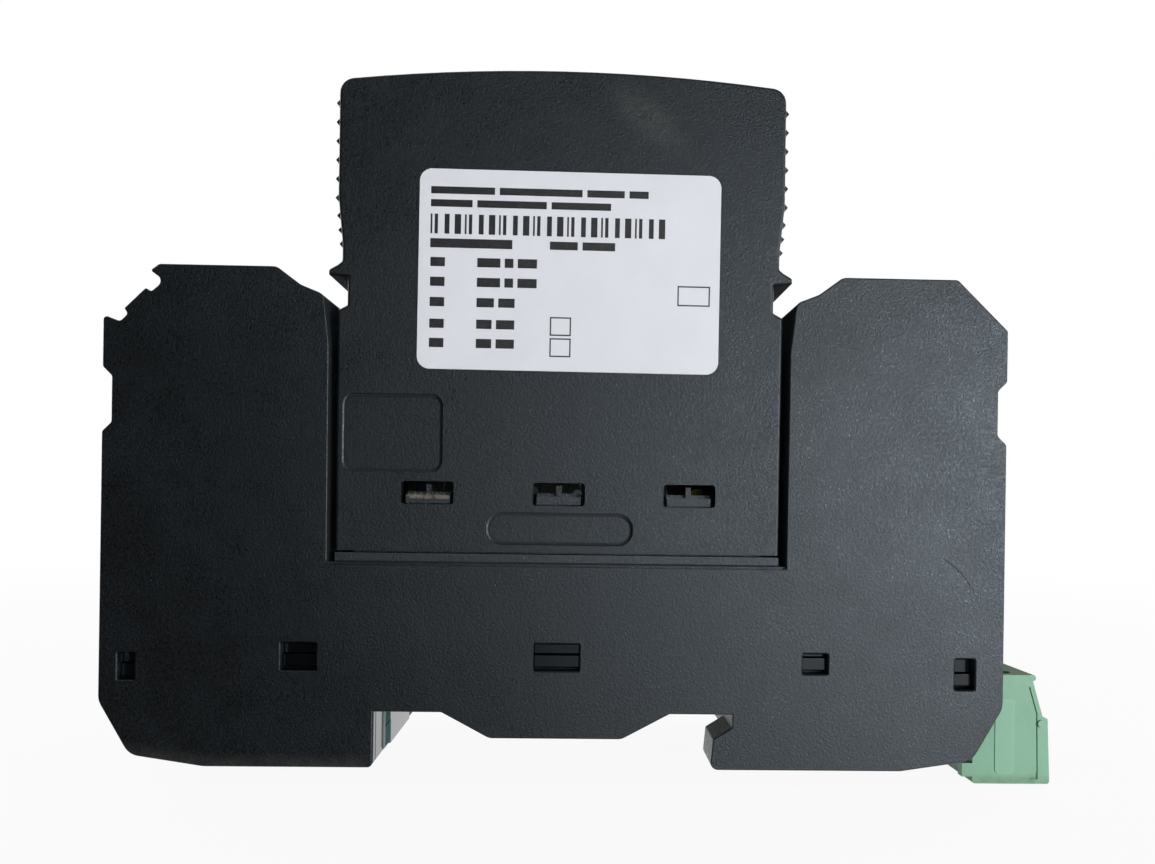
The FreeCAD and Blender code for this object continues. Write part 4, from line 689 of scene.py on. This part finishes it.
class SURGE_OT_label(bpy.types.Operator):
    """Build the type label's film with its print of plain bars and boxes"""

    bl_idname = "surge.label"
    bl_label = "Build Type Label"

    # Print, in millimetres from the label's upper left corner. A row of bars gives its left, top,
    # bottom and widths, a value row its top and widths, and a box its left, right, top and bottom.
    # A value row starts with one name bar.
    word_rows = [
        (1.20, 1.85, 2.60, (6.6, 8.6, 3.9, 2.0)),
        (1.20, 3.20, 3.95, (4.3, 7.2, 6.2)),
        (1.20, 7.25, 8.20, (8.5,)),
        (13.6, 7.30, 8.15, (2.9, 3.4)),
    ]
    value_rows = [
        (9.10, (2.4, 0.9, 2.0)),
        (11.15, (2.4, 0.9, 2.0)),
        (13.25, (1.8, 1.7)),
        (15.50, (1.6, 1.9)),
        (17.50, (1.6, 1.9)),
    ]
    boxes = [(13.75, 15.95, 15.15, 17.10), (13.75, 15.95, 17.35, 19.30), (27.0, 30.4, 11.6, 13.7)]
    stroke_strip = (1.20, 25.1, 4.70, 6.75)
    word_gap = 0.5
    value_gap = 0.45
    value_left = 6.1
    name_bar = (1.25, 2.75)
    bar_drop = (0.10, 1.05)
    box_line = 0.14

    # A stroke's least width and what it grows by, and the same of the gap behind it
    stroke_widths = (0.18, 0.16)
    stroke_gaps = (0.24, 0.15)

    def execute(self, context):
        settings = context.scene.surge_label
        film = self.film(settings)
        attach(film, "plug")
        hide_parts("type_label")
        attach(self.print_marks(settings), "plug")
        return {"FINISHED"}

    def seat(self, settings, height):
        """Where the label's middle goes, at one height above the plug's face."""
        middle = Vector((LABEL_CENTRE.x, LABEL_HIGH.y - height, LABEL_CENTRE.z))
        return Matrix.Translation(middle) @ Matrix.Rotation(settings.turn, 4, "Y")

    def film(self, settings):
        mesh = bmesh.new()
        thickness = settings.film_thickness
        size = (settings.width, thickness, settings.height, 1.0)
        bmesh.ops.create_cube(mesh, size=1.0, matrix=Matrix.Diagonal(size))
        upright = [edge for edge in mesh.edges
                   if abs(edge.verts[0].co.y - edge.verts[1].co.y) > thickness / 2]
        bmesh.ops.bevel(mesh, geom=upright, offset=settings.corner, offset_type="OFFSET", segments=10,
                        profile=0.5, affect="EDGES", material=-1)
        rim = [edge for edge in mesh.edges
               if max(edge.verts[0].co.y, edge.verts[1].co.y) < -thickness / 4]
        bmesh.ops.bevel(mesh, geom=rim, offset=thickness * 0.4, offset_type="OFFSET", segments=2,
                        profile=0.5, affect="EDGES", material=-1)
        mesh.transform(self.seat(settings, thickness / 2))
        film = Finish("label_film", settings.film_colour, 0.38)
        cloud = film.noise(0.006, 3.0)
        warm = tuple(channel * 0.965 for channel in settings.film_colour)
        film.lay(film.ramp(cloud, 0.35, 0.75), warm)
        film.roughness = film.ramp(film.noise(0.0012, 3.0), 0.3, 0.7, 0.33, 0.43)
        film.raise_by(film.noise(0.0035, 2.0), 0.000006)
        return piece("label_film", mesh, film.done())

    def print_marks(self, settings):
        mesh = bmesh.new()
        for left, right, top, bottom in self.marks():
            size = ((right - left) * MM, settings.ink_thickness, (bottom - top) * MM, 1.0)
            middle = Vector(((left + right) / 2 * MM - settings.width / 2, 0.0,
                             settings.height / 2 - (top + bottom) / 2 * MM))
            bmesh.ops.create_cube(mesh, size=1.0, matrix=Matrix.Translation(middle) @ Matrix.Diagonal(size))
        mesh.transform(self.seat(settings, settings.film_thickness + settings.ink_thickness / 2))
        ink = Finish("label_ink", settings.ink_colour, 0.42)
        thin = tuple(0.012 + channel for channel in settings.ink_colour)
        ink.lay(ink.ramp(ink.noise(0.0005, 3.0, 0.7), 0.45, 0.7), thin, 0.5)
        return piece("label_print", mesh, ink.done())

    def marks(self):
        """Every bar, stroke and box side of the print."""
        marks = []
        for left, top, bottom, widths in self.word_rows:
            for width in widths:
                marks.append((left, left + width, top, bottom))
                left += width + self.word_gap
        for row, widths in self.value_rows:
            top, bottom = (row + drop for drop in self.bar_drop)
            marks.append((*self.name_bar, top, bottom))
            left = self.value_left
            for width in widths:
                marks.append((left, left + width, top, bottom))
                left += width + self.value_gap
        left, right, top, bottom = self.stroke_strip
        thin, wider = self.stroke_widths
        close, further = self.stroke_gaps
        index = 0
        while left < right:
            width = thin + wider * ((index * 5) % 4)
            marks.append((left, left + width, top, bottom))
            left += width + close + further * ((index * 3) % 4)
            index += 1
        for left, right, top, bottom in self.boxes:
            line = self.box_line
            marks.append((left, right, top, top + line))
            marks.append((left, right, bottom - line, bottom))
            marks.append((left, left + line, top + line, bottom - line))
            marks.append((right - line, right, top + line, bottom - line))
        return marks


class SURGE_OT_chamber(bpy.types.Operator):
    """Finish the arc chamber, its rivets and its spark horns"""

    bl_idname = "surge.chamber"
    bl_label = "Finish Arc Chamber"

    def execute(self, context):
        circuit = context.scene.surge_circuit
        metals = context.scene.surge_metal
        chamber = moulded_plastic("filled_thermoset", circuit.chamber_colour, 0.58, 0.0003, 0.000012, 0.22)
        fleck = chamber.ramp(chamber.noise(0.00035, 4.0, 0.75), 0.60, 0.72, 0.0, 0.6)
        chamber.lay(fleck, (0.060, 0.052, 0.044))
        dress(chamber.done(), "chamber_near_half", "chamber_far_half")
        dress(plated_metal("rivet_brass", metals.brass_colour, 0.33).done(), "chamber_rivets")
        horns = plated_metal("sintered_horns", metals.electrode_colour, 0.45, (1.0, 1.0, 1.0),
                             (0.20, 0.17, 0.15))
        dress(horns.done(), "electrode_left", "electrode_right")
        return {"FINISHED"}


class SURGE_OT_circuit(bpy.types.Operator):
    """Finish the circuit boards and the parts on them"""

    bl_idname = "surge.circuit"
    bl_label = "Finish Circuit"

    def execute(self, context):
        circuit = context.scene.surge_circuit
        dress(self.laminate(circuit), "trigger_board", "signal_board")
        varistor = smooth_plastic("varistor_coating", circuit.varistor_colour, 0.34, 0.12)
        varistor.raise_by(varistor.noise(0.0018, 2.0), 0.00008)
        dress(varistor.done(), "varistor_disc")
        dress(self.gas_tube(circuit, context.scene.surge_metal), "gas_tube")
        potting = moulded_plastic("potted_block", circuit.potting_colour, 0.5, 0.0004, 0.00001)
        dress(potting.done(), "pulse_transformer")
        dress(smooth_plastic("switch_plastic", circuit.switch_colour, 0.45).done(), "switch_body")
        return {"FINISHED"}

    def laminate(self, circuit):
        """Solder mask, coloured dark as painted shade, over tracks that show as slightly raised, paler lines.
        """
        board = Finish("board_laminate", circuit.shaded_laminate_colour, 0.35)
        along, _, _ = board.axes()
        wander = board.noise(0.006, 1.0)
        lanes = board.math("ADD", board.product(along, 620.0), board.product(wander, 3.0))
        wave = board.math("SINE", board.product(lanes, math.pi))
        tracks = board.ramp(wave, 0.15, 0.35)
        board.lay(board.product(tracks, 0.65), circuit.track_colour, 0.30)
        distance, _ = board.cells(0.0031)
        pads = board.ramp(distance, 0.16, 0.20, 1.0, 0.0)
        board.lay(pads, (0.62, 0.61, 0.58), 0.28)
        board.raise_by(tracks, 0.00003)
        return board.done()

    def gas_tube(self, circuit, metals):
        """Glazed ceramic between two metal caps, told apart by how far along the tube a point is."""
        tube = smooth_plastic("gas_tube", circuit.ceramic_colour, 0.22, 0.04)
        along, _, _ = tube.axes()
        cap = 0.0012
        caps = tube.math(
            "ADD", tube.ramp(along, TUBE_LOW.x + cap - 0.00002, TUBE_LOW.x + cap + 0.00002, 1.0, 0.0),
            tube.ramp(along, TUBE_HIGH.x - cap - 0.00002, TUBE_HIGH.x - cap + 0.00002))
        tube.lay(caps, metals.tin_colour, 0.3)
        tube.feed(tube.shader.inputs["Metallic"], caps)
        return tube.done()


class SURGE_OT_status(bpy.types.Operator):
    """Finish the status flag, its window and the plunger that it presses"""

    bl_idname = "surge.status"
    bl_label = "Finish Status Flag"

    def execute(self, context):
        circuit = context.scene.surge_circuit
        dress(smooth_plastic("status_flag", circuit.flag_colour, 0.40).done(), "status_slider")
        dress(smooth_plastic("plunger_plastic", circuit.plunger_colour, 0.42).done(), "switch_plunger")
        window = smooth_plastic("clear_window", circuit.window_colour, 0.08, 0.02)
        window.height = None
        window.shader.inputs["Alpha"].default_value = 0.15
        dress(window.done(), "indicator_window")
        return {"FINISHED"}


# Remote-signal connector

class SURGE_OT_connector(bpy.types.Operator):
    """Finish the remote-signal connector, its header, clamps and screws"""

    bl_idname = "surge.connector"
    bl_label = "Finish Connector"

    # Raised plate: its left and right from the body's right end, its low and high from the bottom
    plate_place = (0.0060, 0.0039, 0.00103, 0.00919)

    def execute(self, context):
        settings = context.scene.surge_connector
        metals = context.scene.surge_metal
        body = moulded_plastic("connector_plastic", settings.body_colour, 0.44, 0.00024,
                               settings.grain_depth, 0.06)
        mottled = body.ramp(body.noise(0.0021, 4.0, 0.6), 0.45, 0.8, 0.0, 0.45)
        body.lay(mottled, settings.shade_colour)
        self.plate(body, settings)
        along, _, level = body.axes()
        low = body.ramp(level, CONNECTOR_LOW.z + 0.0002, CONNECTOR_LOW.z + 0.0013, 1.0, 0.0)
        ragged = body.ramp(body.noise(0.0012, 4.0, 0.65), 0.25, 0.70, 0.2, 0.8)
        body.lay(body.product(low, ragged), settings.soil_colour, 0.6)
        strip = body.ramp(along, CONNECTOR_HIGH.x - 0.00150, CONNECTOR_HIGH.x - 0.00145)
        body.lay(body.product(strip, 0.30), settings.plate_colour)
        # Painted shade on the faces that look upwards
        body.lay(body.ramp(body.facing()[2], 0.6, 0.9), settings.top_shade_colour, DULL)
        dress(body.done(), "connector_body", "signal_header")
        clamps = plated_metal("clamp_plating", metals.zinc_colour, 0.33, (1.0, 1.0, 6.0))
        dress(clamps.done(), *starting("connector_clamp_"))
        screws = plated_metal("small_screw_plating", metals.screw_colour, 0.30)
        dress(screws.done(), *starting("connector_screw_"))
        return {"FINISHED"}

    def plate(self, body, settings):
        """Paler top of the bare raised plate on the near side, with a painted highlight along its rim."""
        left, right, low, high = self.plate_place
        off = body.from_outline(CONNECTOR_HIGH.x - left, CONNECTOR_HIGH.x - right,
                                CONNECTOR_LOW.z + low, CONNECTOR_LOW.z + high, 0.00055)
        _, depth, _ = body.axes()
        near = body.ramp(depth, CONNECTOR_LOW.y + 0.0012, CONNECTOR_LOW.y + 0.0016, 1.0, 0.0)
        body.lay(body.product(body.below(off, 0.0), near, 0.55), settings.plate_colour)
        # Painted highlight: a paler band along the inside of the plate's rim
        body.lay(body.product(body.between(off, -0.00025, SOFT, SOFT), near, 0.45), settings.plate_colour)


# Stage

class SURGE_OT_stage(bpy.types.Operator):
    """Build the pale floor, the soft lights, the world and the camera"""

    bl_idname = "surge.stage"
    bl_label = "Build Stage"

    def execute(self, context):
        settings = context.scene.surge_stage
        context.scene.view_settings.view_transform = "Standard"
        self.floor(settings)
        self.world(context, settings)
        key_size = (settings.key_width, settings.key_height)
        for name, place, size, power in (
                ("key_light", (0.38, -0.49, 0.045), key_size, settings.key_power),
                ("front_light", (0.12, -0.61, 0.12), (0.15, 0.22), settings.front_power),
                ("top_light", (-0.16, -0.22, 0.72), (0.55, 0.55), settings.fill_power),
                ("back_light_left", (-0.55, 0.50, 0.24), (0.50, 0.50), settings.back_power),
                ("back_light_right", (0.50, 0.56, 0.22), (0.50, 0.50), settings.back_power)):
            self.lamp(context, name, place, size, power)
        self.camera(context, settings)
        return {"FINISHED"}

    def floor(self, settings):
        """Wide pale floor just below the lowest piece. It shows near white and keeps the shadow.

        Gloss alone sees the floor black in front of the left half, as a dark card would look: a painted dark
        reflection on the near side's left half, out of the camera's view.
        """
        level = min(COVER_LOW.z, CONNECTOR_LOW.z) - 0.00002
        mesh = bmesh.new()
        bmesh.ops.create_grid(mesh, x_segments=4, y_segments=4, size=4.0,
                              matrix=Matrix.Translation((0.0, 0.0, level)))
        paint = Finish("pale_floor", settings.floor_colour, 0.85)
        paint.colour = paint.mix(paint.noise(0.4, 2.0), paint.colour, (0.89, 0.89, 0.895, 1.0))
        material = paint.done()
        rays, mirrored = self.rays(paint)
        away = paint.node("ShaderNodeVectorMath", operation="LENGTH")
        paint.feed(away.inputs[0], paint.place)
        seen = paint.product(paint.ramp(away.outputs["Value"], 0.12, 0.50, settings.floor_glow, 1.0),
                             paint.math("MAXIMUM", rays["Is Camera Ray"], mirrored))
        white = self.glow_over(paint, seen, paint.shader.outputs[0], 1.0)
        along, depth, _ = paint.axes()
        # Painted dark reflection: gloss sees the floor black in front of the left half
        card = paint.product(paint.ramp(along, -0.035, 0.045, settings.dark_reflection_share, 0.0),
                             paint.ramp(depth, -0.022, -0.017, 1.0, 0.0), rays["Is Glossy Ray"])
        carded = self.glow_over(paint, card, white, 0.0)
        output = next(node for node in paint.tree.nodes if node.type == "OUTPUT_MATERIAL")
        paint.feed(output.inputs["Surface"], carded)
        piece("floor", mesh, material)

    def glow_over(self, paint, share, under, strength):
        """Mixes a plain glow over a shader."""
        glow = paint.node("ShaderNodeEmission")
        glow.inputs["Strength"].default_value = strength
        blend = paint.node("ShaderNodeMixShader")
        paint.feed(blend.inputs[0], share)
        paint.feed(blend.inputs[1], under)
        paint.feed(blend.inputs[2], glow.outputs[0])
        return blend.outputs[0]

    def world(self, context, settings):
        """White where it is seen. Gloss sees it darken towards the front, where a dark card would stand."""
        world = bpy.data.worlds.new("studio")
        world.use_nodes = True
        context.scene.world = world
        sky = Nodes(world.node_tree, "Generated")
        front = sky.ramp(sky.axes()[1], -0.05, 0.60, 0.02, 1.0)
        rays, mirrored = self.rays(sky)
        lit = sky.blend(mirrored, settings.ambient, front)
        shown = sky.blend(rays["Is Camera Ray"], lit, 1.0)
        background = next(node for node in sky.tree.nodes if node.type == "BACKGROUND")
        background.inputs["Color"].default_value = (1.0, 1.0, 1.0, 1.0)
        sky.feed(background.inputs["Strength"], shown)

    def rays(self, shading):
        """The kinds of ray, and 1 for those that come by way of gloss or glass."""
        kinds = shading.node("ShaderNodeLightPath").outputs
        return kinds, shading.math("MAXIMUM", kinds["Is Glossy Ray"], kinds["Is Transmission Ray"])

    def lamp(self, context, name, place, size, power):
        data = bpy.data.lights.new(name, "AREA")
        data.shape = "RECTANGLE"
        data.size, data.size_y = size
        data.energy = power
        data.color = (0.965, 0.99, 1.0)
        made = bpy.data.objects.new(name, data)
        made.location = place
        made.rotation_euler = (LIT_MIDDLE - Vector(place)).to_track_quat("-Z", "Y").to_euler()
        made.visible_camera = False
        context.scene.collection.objects.link(made)

    def camera(self, context, settings):
        data = bpy.data.cameras.new("camera")
        data.sensor_width = 36.0
        data.lens = settings.focal_length
        data.shift_x, data.shift_y = settings.shift
        data.clip_start = 0.01
        data.clip_end = 20.0
        made = bpy.data.objects.new("camera", data)
        turn = Matrix.Rotation(-settings.camera_yaw, 4, "Z") @ Matrix.Rotation(math.pi / 2, 4, "X")
        turn = turn @ Matrix.Rotation(settings.camera_roll, 4, "Z")
        made.matrix_world = Matrix.Translation(settings.camera_place) @ turn
        context.scene.collection.objects.link(made)
        context.scene.camera = made


GROUPS = (
    ("surge_shell", ShellSettings),
    ("surge_label", LabelSettings),
    ("surge_metal", MetalSettings),
    ("surge_circuit", CircuitSettings),
    ("surge_connector", ConnectorSettings),
    ("surge_stage", StageSettings),
)
OPERATORS = (
    SURGE_OT_stage,
    SURGE_OT_shell,
    SURGE_OT_latch,
    SURGE_OT_terminals,
    SURGE_OT_sockets,
    SURGE_OT_plug,
    SURGE_OT_label,
    SURGE_OT_chamber,
    SURGE_OT_circuit,
    SURGE_OT_status,
    SURGE_OT_connector,
)


class SURGE_PT_looks(bpy.types.Panel):
    """Sizes, colours and build steps of the surge arrester"""

    bl_idname = "SURGE_PT_looks"
    bl_label = "Surge Arrester"
    bl_space_type = "VIEW_3D"
    bl_region_type = "UI"
    bl_category = "Surge Arrester"

    def draw(self, context):
        layout = self.layout
        for operator in OPERATORS:
            layout.operator(operator.bl_idname)
        for attribute, group in GROUPS:
            box = layout.box()
            box.label(text=group.__doc__)
            settings = getattr(context.scene, attribute)
            for name in group.__annotations__:
                box.prop(settings, name)


def register():
    for attribute, group in GROUPS:
        bpy.utils.register_class(group)
        setattr(bpy.types.Scene, attribute, bpy.props.PointerProperty(type=group))
    for operator in OPERATORS:
        bpy.utils.register_class(operator)
    bpy.utils.register_class(SURGE_PT_looks)


def unregister():
    bpy.utils.unregister_class(SURGE_PT_looks)
    for operator in reversed(OPERATORS):
        bpy.utils.unregister_class(operator)
    for attribute, group in reversed(GROUPS):
        delattr(bpy.types.Scene, attribute)
        bpy.utils.unregister_class(group)


def main():
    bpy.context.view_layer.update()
    register()
    bpy.ops.surge.stage()
    bpy.ops.surge.shell()
    bpy.ops.surge.latch()
    bpy.ops.surge.terminals()
    bpy.ops.surge.sockets()
    bpy.ops.surge.plug()
    bpy.ops.surge.label()
    bpy.ops.surge.chamber()
    bpy.ops.surge.circuit()
    bpy.ops.surge.status()
    bpy.ops.surge.connector()


if __name__ == "__main__":
    main()
